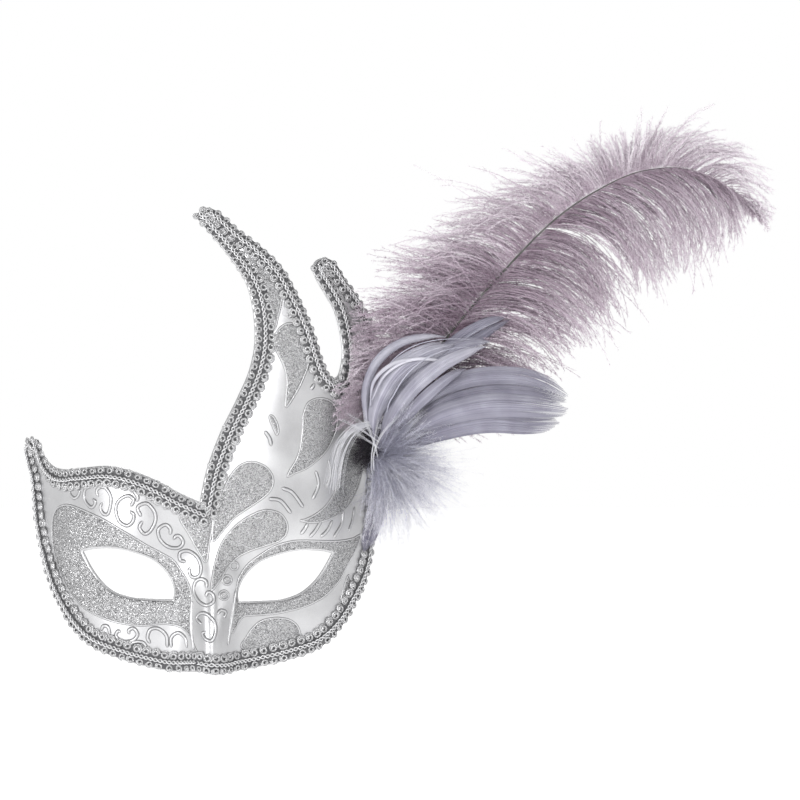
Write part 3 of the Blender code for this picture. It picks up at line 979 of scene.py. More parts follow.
FIELDS: dict[str, Pairs] = {
    "eye_surround_right": [
        (-74.5, 33.8), (-68, 34), (-53, 28), (-40.5, 21), (-30.5, 15), (-23, 11), (-17, 7.5), (-13, 2.5),
        (-9, -4), (-7, -12.5), (-7, -22.5), (-6.5, -32.5), (-4.5, -37.5), (-10.5, -27.5), (-20.5, -24.5),
        (-33, -25.5), (-47, -23.5), (-60.5, -18), (-69, -10), (-74.5, 0), (-78.5, 12.5), (-79.3, 22.5),
        (-78, 30.3),
    ],
    "brow_drop": [(-13, 29.5), (-9, 21), (-3.5, 11.5), (0, 6.5), (1.5, 15), (3, 27.5), (-3, 32.5)],
    "crest_drop_upper": [
        (3.5, 17), (4, 27.5), (7, 37.5), (11, 47.5), (16, 54), (22, 56.5), (28, 55), (32, 51.5),
        (33.5, 46.5), (31.5, 41.5), (27, 37.5), (21, 33.5), (14.5, 29), (9.5, 23.5),
    ],
    "crest_drop_lower": [
        (3, -7.5), (3.5, 0), (5, 7.5), (7.5, 15), (11, 20.5), (16, 25.5), (22, 29.5), (28, 32), (32, 32.2),
        (37, 30.5), (40, 26.5), (40.5, 22.5), (39, 19), (35.5, 16.5), (29.5, 14.5), (22, 12), (16, 9),
        (11, 4), (8, -1),
    ],
    "temple_drop": [
        (48.5, 76.5), (48.5, 80), (50.5, 85.5), (54.5, 88), (59.5, 88), (63.5, 85.5), (65.5, 80.5),
        (65, 73.5), (63, 67.5), (59.5, 61.5), (54.5, 56.5), (49.5, 53), (44.5, 51), (40.5, 49), (42, 52.5),
        (45, 57.5), (47, 63.5), (48, 70),
    ],
    "crest_drop_middle": [
        (41, 126), (36.5, 123.5), (34, 118.5), (35, 112.5), (37.5, 107.5), (39.5, 102.5), (40.5, 96.5),
        (40, 90), (40, 84), (45, 91.5), (48, 97.5), (50.5, 104), (51, 110), (49.5, 120), (47, 125),
    ],
    "crest_drop_top": [
        (20, 161.5), (29.5, 156.5), (34.5, 148.5), (37.5, 141.5), (37, 135), (35.5, 128.5), (34.5, 125),
        (32.5, 135), (30, 142.5), (26, 150),
    ],
    "temple_comma": [
        (72.5, 63), (69, 60), (67.5, 55), (66.5, 50), (65, 44), (63, 39), (59.5, 34), (54.5, 30),
        (49.5, 27.5), (47, 27), (52, 26), (58, 26.5), (64.5, 29), (69.5, 32.5), (73, 37.5), (76, 44),
        (77.5, 50), (77.5, 56.5), (76, 61.5),
    ],
    "eye_surround_left": [
        (14, -12.5), (15, -7.5), (16.5, -1.5), (19.5, 3.5), (23, 7), (28, 10.5), (33, 13.5), (38, 15.5),
        (44.5, 16.8), (52, 16.8), (59.5, 16.5), (67, 16.5), (73, 17.5), (77, 19), (74, 11), (69.5, 2.5),
        (67, -2.5), (62, -8.5), (57, -12.5), (49.5, -16), (42, -18), (34.5, -19.5), (24.5, -20.2),
        (19.5, -20.5), (17, -22.5), (13, -29), (13.5, -20),
    ],
    "cheek_drop": [
        (18, -36.5), (20, -31.5), (23, -27), (27, -23.5), (32, -22), (37, -21.8), (42, -23), (45.5, -26),
        (47, -30.5), (47.5, -36.5), (32, -38.5),
    ],
    "cheek_edge_strip": [
        (71, -1), (68.5, -7.5), (67, -14), (64.5, -19), (61, -23), (58, -26), (61.5, -27.5), (65.5, -23.5),
        (70, -16), (73, -8.5),
    ],
    "leaf": [(31.5, 79), (33, 79.5), (35, 76.5), (36, 72.5), (35.3, 70), (33.5, 73.5)],
}
STROKES: list[Pairs] = [
    [(31, 38), (37, 37), (42.5, 30.5)],
    [(37.5, 43.5), (43, 41), (48.5, 33.5)],
    [(54.5, 52), (56, 45), (53, 37.5)],
    [(61, 57.5), (62, 50), (60, 43.5)],
    [(29, 72), (31.5, 68.5), (32.5, 64.5)],
    [(44, 132.5), (42.5, 130.5), (41, 128.5)],
    [(54, 96), (53, 94), (52, 92.5)],
    [(51, 26), (49, 22.5), (47, 20)],
    [(57.5, 27), (54.5, 22), (51.5, 18.5)],
    [(63, 27), (60.5, 22), (57, 18.5)],
    [(68.5, 31.5), (67.5, 25), (63.5, 18)],
    [(74, 33.5), (73, 27), (71, 21)],
    [(-37, 42.5), (-34.5, 39), (-35, 36.5)],
    [(-7, -12.5), (-7.5, -25), (-6, -37.5)],
    [(15, -7.5), (13, -22.5), (11, -35)],
]
SCROLLS: list[Pairs] = [
    [(-70, 42.5), (-69, 39.5), (-67, 38), (-65, 39.5), (-64, 42.5)],
    [(-58, 44), (-61, 43), (-62, 39.5), (-61, 36), (-58, 33.5), (-56, 36), (-57.5, 38)],
    [(-54.5, 39), (-55.5, 41.5), (-54, 43.5), (-51, 43.5), (-48.5, 40), (-48, 36), (-49.5, 30.5),
     (-52, 30.5), (-53.5, 33.5), (-52.5, 36)],
    [(-38, 34), (-36.5, 37.5), (-39.5, 39.5), (-44, 37), (-45.5, 32.5), (-44, 27), (-40, 24.5),
     (-37, 26.5), (-36.5, 30), (-38.5, 32)],
    [(-32.5, 29), (-34.5, 33), (-33, 35), (-29.5, 35.5), (-26, 31.5), (-25.5, 27), (-28, 22),
     (-31, 20.5), (-33.5, 23.5), (-32, 27)],
    [(-18, 20), (-18, 23), (-20.5, 25), (-24, 22.5), (-23, 17.5), (-19, 14), (-14, 13.5), (-11.5, 16),
     (-13, 19), (-15, 19.5), (-16.5, 17.5)],
    [(-10, 6.5), (-13, 7.5), (-13, 11), (-9, 12), (-4.5, 9), (-2.5, 4), (-3.5, -0.5), (-7, -1),
     (-8.5, 2), (-8, 4)],
    [(0.5, -6.5), (0, -3), (-3, -2), (-5.5, -4), (-6, -8.5), (-3.5, -13), (0.5, -15), (4, -13),
     (3.5, -9.5), (1, -8.5), (0, -11)],
    [(-2, -24.5), (-4.5, -21.5), (-2.5, -19), (1, -19.5), (4.5, -23.5), (5, -28.5), (3, -32.5),
     (0, -31.5), (-1.5, -29), (0, -28)],
    [(-53, -28.5), (-52, -26), (-49.5, -26.5), (-48.5, -30.5)],
    [(-43, -29), (-44.5, -28.5), (-45.5, -31), (-42, -33.5), (-37, -33), (-34.5, -30), (-36.5, -27),
     (-39, -28), (-38.5, -30)],
    [(-28, -34.5), (-29.5, -31.5), (-28, -27.5), (-24, -27), (-20, -30.5), (-19.5, -36.5)],
    [(-17.5, -36.5), (-17.5, -31.5), (-14, -29), (-10.5, -31.5), (-9.5, -36.5)],
    [(-39, -37), (-36.5, -34), (-32, -34), (-29.5, -37)],
    [(6, -19.5), (7.5, -17.5), (10, -18.5), (9, -21.5)],
]
RINGS: Triples = [(14, 4.5, 2.0), (10.5, -2.5, 2.3), (10.5, -2.5, 1.0), (9, -10, 2.3), (9, -10, 1.0)]


@dataclass
class Decoration:
    """The raised scrolls, strokes and rims on the shell, and the glitter fields between them."""

    form: MaskForm
    line_half_width: float = 0.00072
    line_height: float = 0.00062
    stroke_half_width: float = 0.00078
    rim_half_width: float = 0.00042
    rim_height: float = 0.00036
    glitter_lift: float = 0.00020
    glitter_sink: float = 0.00030
    field_spacing: float = 0.0012
    end_taper: float = 0.0012
    stroke_step: float = 0.0007
    scroll_step: float = 0.0005
    rim_step: float = 0.0008
    field_step: float = 0.001
    hole_margin: float = 0.0007
    # Each row: share of the half width, share of the height, and share of painted shade, full at the foot.
    section: tuple[tuple[float, float, float], ...] = (
        (1.50, -0.40, 1.0), (1.40, 0.05, 0.55), (1.05, 0.10, 1.0), (0.86, 0.50, 0.40), (0.45, 0.90, 0.0),
        (0.0, 1.0, 0.0), (-0.45, 0.90, 0.0), (-0.86, 0.50, 0.40), (-1.05, 0.10, 1.0), (-1.40, 0.05, 0.55),
        (-1.50, -0.40, 1.0),
    )
    points: list[np.ndarray] = field(default_factory=list)
    painted_shades: list[np.ndarray] = field(default_factory=list)
    faces: list[np.ndarray] = field(default_factory=list)
    caps: list[np.ndarray] = field(default_factory=list)
    total: int = 0

    def bead(self, line: np.ndarray, half_width: float, height: float, closed: bool) -> None:
        """Adds one half-round bead along a line on the form, with painted shade along its foot.

        Args:
            line: the bead's (x, z) points.
            half_width: half its width.
            height: how far it stands up.
            closed: True if it runs round to its start.
        """
        if closed:
            ahead = unit(np.roll(line, -1, axis=0) - np.roll(line, 1, axis=0))
            swell = np.ones(len(line))
        else:
            ahead = directions(line)
            gone = line_lengths(line)
            to_end = np.minimum(gone, gone[-1] - gone)
            swell = np.sqrt(np.clip(to_end / self.end_taper, 0.06, 1))
        flat_side = np.stack([ahead[:, 1], -ahead[:, 0]], axis=1)
        middle, up = self.form.point(line), self.form.normal(line)
        step = 0.0002
        side = unit(self.form.point(line + flat_side * step) - middle)
        rows = [middle + (side * (a * half_width) + up * (b * height)) * swell[:, None]
                for a, b, _ in self.section]
        ring = np.stack(rows, axis=1)
        count, around = ring.shape[:2]
        self.points.append(ring.reshape(-1, 3))
        self.painted_shades.append(np.tile([c for _, _, c in self.section], count))
        self.faces.append(ring_quads(count, around, closed) + self.total)
        if not closed:
            self.caps.append(np.arange(around)[None] + self.total)
            self.caps.append(np.arange(around)[None, ::-1] + self.total + (count - 1) * around)
        self.total += count * around

    def build(self) -> None:
        """Makes the embossed lines and the glitter."""
        for line in STROKES:
            path = smooth_line(mm(line), self.stroke_step)
            self.bead(path, self.stroke_half_width, self.line_height, False)
        for line in SCROLLS:
            path = smooth_line(mm(line), self.scroll_step)
            self.bead(path, self.line_half_width, self.line_height, False)
        for x, z, radius in RINGS:
            angle = np.linspace(0, 2 * math.pi, 24, endpoint=False)
            ring = np.stack([x + radius * np.cos(angle), z + radius * np.sin(angle)], axis=1)
            self.bead(mm(ring), self.rim_half_width, self.rim_height, True)
        for outline in FIELDS.values():
            loop = smooth_line(mm(outline), self.rim_step, True)
            self.bead(loop, self.rim_half_width, self.rim_height, True)
        faces = [np.vstack(self.faces), np.vstack(self.caps)]
        # painted shade at the beads' feet, which the silver paint reads
        values = {"painted_shade": np.concatenate(self.painted_shades)}
        mesh = make_mesh("embossed_scrollwork", np.vstack(self.points), faces, values)
        place(mesh, ROOT, [bpy.data.materials["silver_paint"]])
        self.glitter()

    def glitter(self) -> None:
        """Makes the glitter fields, as one piece of separate closed patches."""
        holes = {"eye_surround_right": [self.form.eye_hole(-1, self.field_step)],
                 "eye_surround_left": [self.form.eye_hole(1, self.field_step)]}
        points, tris, quads, total = [], [], [], 0
        for name, outline in FIELDS.items():
            loops = [smooth_line(mm(outline), self.field_step, True)]
            loops += [self.spread(hole, self.hole_margin) for hole in holes.get(name, [])]
            flat, faces = triangulate(loops, self.field_spacing)
            spots, walls, _ = solid_sheet(self.form, flat, faces, self.glitter_lift, -self.glitter_sink, 0.0)
            points.append(spots)
            tris += [walls[0] + total, walls[1] + total]
            quads += [walls[2] + total, walls[3] + total]
            total += len(spots)
        mesh = make_mesh("glitter_fields", np.vstack(points), [np.vstack(tris), np.vstack(quads)])
        place(mesh, ROOT, [Glitter().make()])

    @staticmethod
    def spread(loop: np.ndarray, distance: float) -> np.ndarray:
        """Moves a closed loop outwards.

        Args:
            loop: the loop's (x, z) corners.
            distance: how far it moves.

        Returns:
            The larger loop.
        """
        ahead = unit(np.roll(loop, -1, axis=0) - np.roll(loop, 1, axis=0))
        side = np.stack([ahead[:, 1], -ahead[:, 0]], axis=1)
        away = np.sign(((loop - loop.mean(0)) * side).sum())
        return loop + side * distance * away


# ---------------------------------------------------------------- the braid


BRAID_INPUTS: list[tuple[str, str, object]] = [
    ("Geometry", GEOMETRY, None),
    ("Pitch", NUMBER, 0.0049),
    ("Scroll Radius", NUMBER, 0.0019),
    ("Yarn Radius", NUMBER, 0.00064),
    ("Row Offset", NUMBER, 0.0027),
    ("Cord Radius", NUMBER, 0.00040),
    ("Seed", "NodeSocketInt", 1),
    ("Scroll Finish", "NodeSocketMaterial", None),
    ("Cord Finish", "NodeSocketMaterial", None),
]


class BraidNodes(NodeSheet):
    """The node tree that turns a centre line into gimp braid: two rows of scrolls and a twisted cord."""

    def __init__(self) -> None:
        """Builds the tree once."""
        super().__init__(bpy.data.node_groups.new("gimp_braid", "GeometryNodeTree"))
        self.inputs: dict[str, str] = {}
        for name, kind, default in BRAID_INPUTS:
            socket = self.tree.interface.new_socket(name, in_out="INPUT", socket_type=kind)
            if default is not None:
                socket.default_value = default
            self.inputs[name] = socket.identifier
        self.tree.interface.new_socket("Geometry", in_out="OUTPUT", socket_type=GEOMETRY)
        self.given = self.add("NodeGroupInput").outputs
        self._assemble()

    def _math(self, operation: str, a: object, b: object = None) -> bpy.types.Node:
        """Adds a Math node.

        Args:
            operation: what it does.
            a: its first number, as a value, an output or a node.
            b: its second number, if it has one.

        Returns:
            The node.
        """
        return self.add("ShaderNodeMath", {0: a, 1: b}, operation=operation)

    def _vector(self, operation: str, given: dict[object, object]) -> bpy.types.Node:
        """Adds a Vector Math node.

        Args:
            operation: what it does.
            given: what goes into its inputs.

        Returns:
            The node.
        """
        return self.add("ShaderNodeVectorMath", given, operation=operation)

    def _named(self, name: str, kind: str) -> bpy.types.NodeSocket:
        """Reads a named attribute.

        Args:
            name: the attribute.
            kind: the type of its values.

        Returns:
            The attribute's values.
        """
        node = self.add("GeometryNodeInputNamedAttribute", {"Name": name}, data_type=kind)
        return node.outputs["Attribute"]

    def _across(self, ahead: object, up: object) -> bpy.types.Node:
        """Finds the direction across the braid.

        Args:
            ahead: the direction along it.
            up: the direction off the shell.

        Returns:
            The node that gives the direction.
        """
        return self._vector("NORMALIZE", {0: self._vector("CROSS_PRODUCT", {0: ahead, 1: up})})

    def _joined(self, parts: list[bpy.types.Node]) -> bpy.types.Node:
        """Joins the results of several nodes, in their order.

        Args:
            parts: the nodes.

        Returns:
            The node that joins them.
        """
        node = self.add("GeometryNodeJoinGeometry")
        for part in parts:
            self.fill(node.inputs[0], part)
        return node

    def _scroll(self) -> bpy.types.Node:
        """Makes one scroll of yarn: a flat spiral that rises to its middle.

        Returns:
            The node that gives its mesh.
        """
        reach = self.given["Scroll Radius"]
        inner = self._math("MULTIPLY", reach, 0.44)
        fall = self._math("MULTIPLY", self.given["Yarn Radius"], -1.3)
        spiral = self.add("GeometryNodeCurveSpiral", {
            "Resolution": 9, "Rotations": 1.55, "Start Radius": inner, "End Radius": reach, "Height": fall,
        })
        return self._yarn(spiral, 4)

    def _yarn(self, path: bpy.types.Node, sides: int, radius: str = "Yarn Radius") -> bpy.types.Node:
        """Gives a path a round body that keeps each point's distance along it.

        Args:
            path: the node that gives the path as a curve.
            sides: how many sides the body has.
            radius: the input that holds its radius.

        Returns:
            The node that gives the yarn's mesh.
        """
        gone = self.add("GeometryNodeSplineParameter").outputs["Length"]
        keep = self.add("GeometryNodeStoreNamedAttribute", {"Name": "along", "Geometry": path, "Value": gone},
                        data_type="FLOAT", domain="POINT")
        ring = self.add("GeometryNodeCurvePrimitiveCircle",
                        {"Resolution": sides, "Radius": self.given[radius]})
        return self.add("GeometryNodeCurveToMesh", {"Curve": keep, "Profile Curve": ring, "Fill Caps": True})

    def _row(self, line: bpy.types.Node, scroll: bpy.types.Node, side: int) -> bpy.types.Node:
        """Places scrolls along one edge of the braid.

        Args:
            line: the node that gives the braid's centre line as a curve.
            scroll: the node that gives the scroll's mesh.
            side: 1 for one edge and -1 for the other, which is set off by half a pitch and turned round.

        Returns:
            The node that gives the scrolls as instances.
        """
        start_share, usual_size, half_turn = (0.35, 1.20, 0.0) if side > 0 else (0.85, 1.02, math.pi)
        past_any_end = 10.0
        pitch, seed = self.given["Pitch"], self.given["Seed"]
        start = self._math("MULTIPLY", pitch, start_share)
        trim = self.add("GeometryNodeTrimCurve", {"Curve": line, 4: start, 5: past_any_end}, mode="LENGTH")
        beat = self.add("GeometryNodeResampleCurve", {"Curve": trim, "Length": pitch}, mode="LENGTH")
        spots = self.add("GeometryNodeCurveToPoints", {"Curve": beat}, mode="EVALUATED").outputs
        up, size = self._named("up", "FLOAT_VECTOR"), self._named("size", "FLOAT")
        reach = self._math("MULTIPLY", self._math("MULTIPLY", self.given["Row Offset"], size), side)
        offset = self._vector("SCALE", {0: self._across(spots["Tangent"], up), "Scale": reach})
        moved = self.add("GeometryNodeSetPosition", {"Geometry": spots["Points"], "Offset": offset})
        stand = self.add("FunctionNodeAlignRotationToVector", {"Vector": up}, axis="Z")
        face = self.add("FunctionNodeAlignRotationToVector", {"Rotation": stand, "Vector": spots["Tangent"]},
                        axis="X", pivot_axis="Z")
        lowest, highest = (-0.22, -0.22, half_turn - 0.5), (0.22, 0.22, half_turn + 0.5)
        wobble = self.add("FunctionNodeRandomValue", {0: lowest, 1: highest, "Seed": seed},
                          data_type="FLOAT_VECTOR")
        tilt = self.add("FunctionNodeEulerToRotation", {0: wobble})
        turn = self.add("FunctionNodeRotateRotation", {"Rotation": face, "Rotate By": tilt},
                        rotation_space="LOCAL")
        grow = self.add("FunctionNodeRandomValue", {2: usual_size - 0.08, 3: usual_size + 0.08, "Seed": seed},
                        data_type="FLOAT").outputs[1]
        scale = self._math("MULTIPLY", grow, self._math("POWER", size, 0.4))
        return self.add("GeometryNodeInstanceOnPoints",
                        {"Points": moved, "Instance": scroll, "Rotation": turn, "Scale": scale})

    def _strand(self, line: bpy.types.Node, phase: float) -> bpy.types.Node:
        """Winds one strand of the middle cord about the centre line.

        Args:
            line: the node that gives the centre line as a curve.
            phase: where in its turn the strand starts, in radians.

        Returns:
            The node that gives the strand's mesh.
        """
        step, swing, lift = 0.00055, 0.00075, 0.0010
        fine = self.add("GeometryNodeResampleCurve", {"Curve": line, "Length": step}, mode="LENGTH")
        gone = self.add("GeometryNodeSplineParameter").outputs["Length"]
        turns = self._math("DIVIDE", gone, self.given["Pitch"])
        angle = self._math("ADD", self._math("MULTIPLY", turns, 2 * math.pi), phase)
        up = self._named("up", "FLOAT_VECTOR")
        across = self._across(self.add("GeometryNodeInputTangent"), up)
        reach = self._math("MULTIPLY", self._math("SINE", angle), swing)
        rise = self._math("MULTIPLY", self._math("COSINE", angle), self.given["Cord Radius"])
        sideways = self._vector("SCALE", {0: across, "Scale": reach})
        upwards = self._vector("SCALE", {0: up, "Scale": self._math("ADD", rise, lift)})
        shift = self._vector("ADD", {0: sideways, 1: upwards})
        moved = self.add("GeometryNodeSetPosition", {"Geometry": fine, "Offset": shift})
        return self._yarn(moved, 6, "Cord Radius")

    def _assemble(self) -> None:
        """Joins the rows and the cord into one mesh."""
        line = self.add("GeometryNodeMeshToCurve", {0: self.given["Geometry"]})
        scroll = self._scroll()
        rows = [self._row(line, scroll, side) for side in (1, -1)]
        strands = [self._strand(line, phase) for phase in (0.0, math.pi)]
        dressed = []
        for parts, finish in ((rows, "Scroll Finish"), (strands, "Cord Finish")):
            real = self.add("GeometryNodeRealizeInstances", {0: self._joined(parts)})
            smooth = self.add("GeometryNodeSetShadeSmooth", {0: real})
            dressed.append(self.add("GeometryNodeSetMaterial",
                                    {"Geometry": smooth, "Material": self.given[finish]}))
        self.add("NodeGroupOutput", {0: self._joined(dressed)})


def run_nodes(
    name: str, points: np.ndarray, values: dict[str, np.ndarray], tree: bpy.types.NodeTree,
    settings: dict[str, object],
) -> bpy.types.Mesh:
    """Runs a Geometry Nodes tree on a line of points and keeps the result as a plain mesh.

    Args:
        name: the result's name.
        points: the line's points, joined in order.
        values: numbers or vectors for each point, read by the tree.
        tree: the tree.
        settings: the tree's inputs by socket identifier.

    Returns:
        The finished mesh.
    """
    source = bpy.data.meshes.new(name + "_line")
    source.from_pydata([tuple(p) for p in points], [(i, i + 1) for i in range(len(points) - 1)], [])
    for key, numbers in values.items():
        vector = numbers.ndim == 2
        layer = source.attributes.new(key, "FLOAT_VECTOR" if vector else "FLOAT", "POINT")
        layer.data.foreach_set("vector" if vector else "value", np.asarray(numbers, np.float32).ravel())
    carrier = bpy.data.objects.new(name + "_line", source)
    bpy.context.scene.collection.objects.link(carrier)
    modifier = carrier.modifiers.new("shape", "NODES")
    modifier.node_group = tree
    for identifier, value in settings.items():
        modifier[identifier] = value
    graph = bpy.context.evaluated_depsgraph_get()
    made = bpy.data.meshes.new_from_object(carrier.evaluated_get(graph), depsgraph=graph)
    made.name = name
    carrier.modifiers.remove(modifier)
    bpy.data.objects.remove(carrier)
    bpy.data.meshes.remove(source)
    return made


@dataclass
class Braid:
    """The seven lengths of gimp braid glued round the shell's edge."""

    form: MaskForm
    width: float = 0.0116
    least_width: float = 0.0080
    narrow_width: float = 0.0096
    overhang: float = 0.0011
    most_overhang: float = 0.0030
    tape_lift: float = 0.0005
    tape_thickness: float = 0.0005
    row_share: float = 0.27
    scroll_lift: float = 0.0005
    step: float = 0.0012
    edge_step: float = 0.001
    tape_columns: int = 6
    tape_span: tuple[float, float] = (0.14, 0.86)
    far_side: float = 0.0015
    share_of_gap: float = 0.52

    def build(self) -> None:
        """Makes each length's tape, scrolls and cord."""
        nodes = BraidNodes()
        scrolls = Lurex("silver_gimp_yarn", (0.20, 0.20, 0.205), (0.88, 0.88, 0.89)).make()
        cord = Lurex("bright_gimp_cord", (0.40, 0.40, 0.41), (0.97, 0.97, 0.98)).make()
        # the tape is the braid's foot, but its near-black colour is painted shade showing in the gaps between
        # scrolls
        tape = Mottled("braid_tape_painted_shade", (0.05, 0.05, 0.055), (0.16, 0.16, 0.165)).make()
        edge = self.form.outline(self.edge_step)
        for seed, (name, stretch) in enumerate(STRETCHES.items(), start=3):
            line, inward = self.edge_line(mm(stretch), RUN_ON.get(name, (0.0, 0.0)))
            most = self.narrow_width if name == "flame_right_braid" else self.width
            width, shift = self.room(line, inward, edge, most)
            line = line - inward * shift[:, None]
            self.make_tape(name, line, inward, width, tape)
            middle = self.across(line, inward, width / 2)
            settings = {"Seed": seed, "Scroll Finish": scrolls, "Cord Finish": cord,
                        "Row Offset": self.width * self.row_share}
            settings = {nodes.inputs[key]: value for key, value in settings.items()}
            values = {"up": self.form.normal(middle), "size": width / self.width}
            spots = self.form.point(middle, self.tape_lift + self.tape_thickness + self.scroll_lift)
            mesh = run_nodes(name + "_gimp", spots, values, nodes.tree, settings)
            place(mesh, ROOT, [], (name,))

    def edge_line(self, stretch: np.ndarray, run_on: tuple[float, float]) -> tuple[np.ndarray, np.ndarray]:
        """Reads a stretch of the edge at even steps.

        Args:
            stretch: its (x, z) points.
            run_on: how far it carries straight on past its start and its end, in millimetres.

        Returns:
            The points and the direction inwards at each.
        """
        line = smooth_line(stretch, self.edge_step)
        parts = [line]
        if run_on[0]:
            parts.insert(0, line[:1] - unit(line[1:2] - line[:1]) * mm(run_on[0]))
        if run_on[1]:
            parts.append(line[-1:] + unit(line[-1:] - line[-2:-1]) * mm(run_on[1]))
        line = np.vstack(parts)
        count = max(4, round(line_lengths(line)[-1] / self.step))
        line = at_shares(line, np.linspace(0, 1, count + 1))
        ahead = directions(line)
        return line, np.stack([ahead[:, 1], -ahead[:, 0]], axis=1)

    def across(self, line: np.ndarray, inward: np.ndarray, distance: np.ndarray) -> np.ndarray:
        """Moves points inwards over the curved surface.

        Args:
            line: the points, as (x, z).
            inward: the direction inwards at each.
            distance: how far each goes, measured over the surface.

        Returns:
            The moved points.
        """
        here = line
        gone = np.zeros(len(line))
        stride, most_strides = 0.00025, 120
        last = self.form.point(here)
        for _ in range(most_strides):
            active = gone < distance
            if not active.any():
                break
            here = here + inward * (stride * active)[:, None]
            now = self.form.point(here)
            gone += np.linalg.norm(now - last, axis=1)
            last = now
        return here

    def room(
        self, line: np.ndarray, inward: np.ndarray, edge: np.ndarray, most: float
    ) -> tuple[np.ndarray, np.ndarray]:
        """Finds how wide the braid is at each point and how far it hangs over the edge.

        Args:
            line: the edge's points.
            inward: the direction inwards at each.
            edge: the shell's whole edge, whose far side is what narrows the tips.
            most: the width where nothing narrows it.

        Returns:
            The widths and the overhangs, which are larger in the narrow tips.
        """
        a, b = edge, np.roll(edge, -1, axis=0)
        side = b - a
        det = inward[:, :1] * -side[:, 1] + inward[:, 1:] * side[:, 0]
        det = np.where(np.abs(det) < 1e-12, 1e-12, det)
        gap_x, gap_z = a[:, 0] - line[:, :1], a[:, 1] - line[:, 1:]
        reach = (gap_x * -side[:, 1] + gap_z * side[:, 0]) / det
        share = (inward[:, :1] * gap_z - inward[:, 1:] * gap_x) / det
        hit = (reach > self.far_side) & (share >= 0) & (share <= 1)
        nearest = np.where(hit, reach, 1.0).min(axis=1)
        width = np.clip(self.share_of_gap * nearest, self.least_width, most)
        shift = np.clip((2 * width - nearest) / 4, self.overhang, self.most_overhang)
        kernel = np.ones(7) / 7
        return tuple(np.convolve(np.pad(v, 3, mode="edge"), kernel, mode="valid") for v in (width, shift))

    def make_tape(
        self, name: str, line: np.ndarray, inward: np.ndarray, width: np.ndarray, finish: bpy.types.Material
    ) -> None:
        """Makes the woven foot that the scrolls are sewn on; its near-black finish is painted shade in the
        gaps.

        Args:
            name: the length of braid.
            line: the edge's points.
            inward: the direction inwards at each.
            width: the braid's width at each.
            finish: the tape's finish.
        """
        shares = np.linspace(*self.tape_span, self.tape_columns)
        places = [self.across(line, inward, width * share) for share in shares]
        top = self.tape_lift + self.tape_thickness
        rows = [self.form.point(p, top) for p in places]
        rows += [self.form.point(p, self.tape_lift) for p in reversed(places)]
        ring = np.stack(rows, axis=1)
        points, quads, caps = loft(ring)
        mesh = make_mesh(name + "_tape", points, [quads, caps])
        place(mesh, ROOT, [finish])


def loft(ring: np.ndarray) -> tuple[np.ndarray, np.ndarray, np.ndarray]:
    """Joins rings of points into a closed tube.

    Args:
        ring: the rings' points, shaped (rings, points in a ring, 3).

    Returns:
        The points, the quads between the rings and the two end caps.
    """
    count, around = ring.shape[:2]
    quads = ring_quads(count, around)[:, [0, 3, 2, 1]]
    caps = np.stack([np.arange(around)[::-1], np.arange(around) + (count - 1) * around])
    points = ring.reshape(-1, 3)
    if loft_volume(points, quads) < 0:
        quads, caps = quads[:, ::-1], caps[:, ::-1]
    return points, quads, caps


def loft_volume(points: np.ndarray, quads: np.ndarray) -> float:
    """Measures the volume within quads.

    Args:
        points: the corners' places.
        quads: the quads' corners.

    Returns:
        Six times the signed volume, which is negative if the quads face inwards.
    """
    middle = points.mean(0)
    a, b, c, d = (points[quads[:, i]] - middle for i in range(4))
    return float((np.cross(a, b) * c).sum() + (np.cross(a, c) * d).sum())


# ---------------------------------------------------------------- feather strands


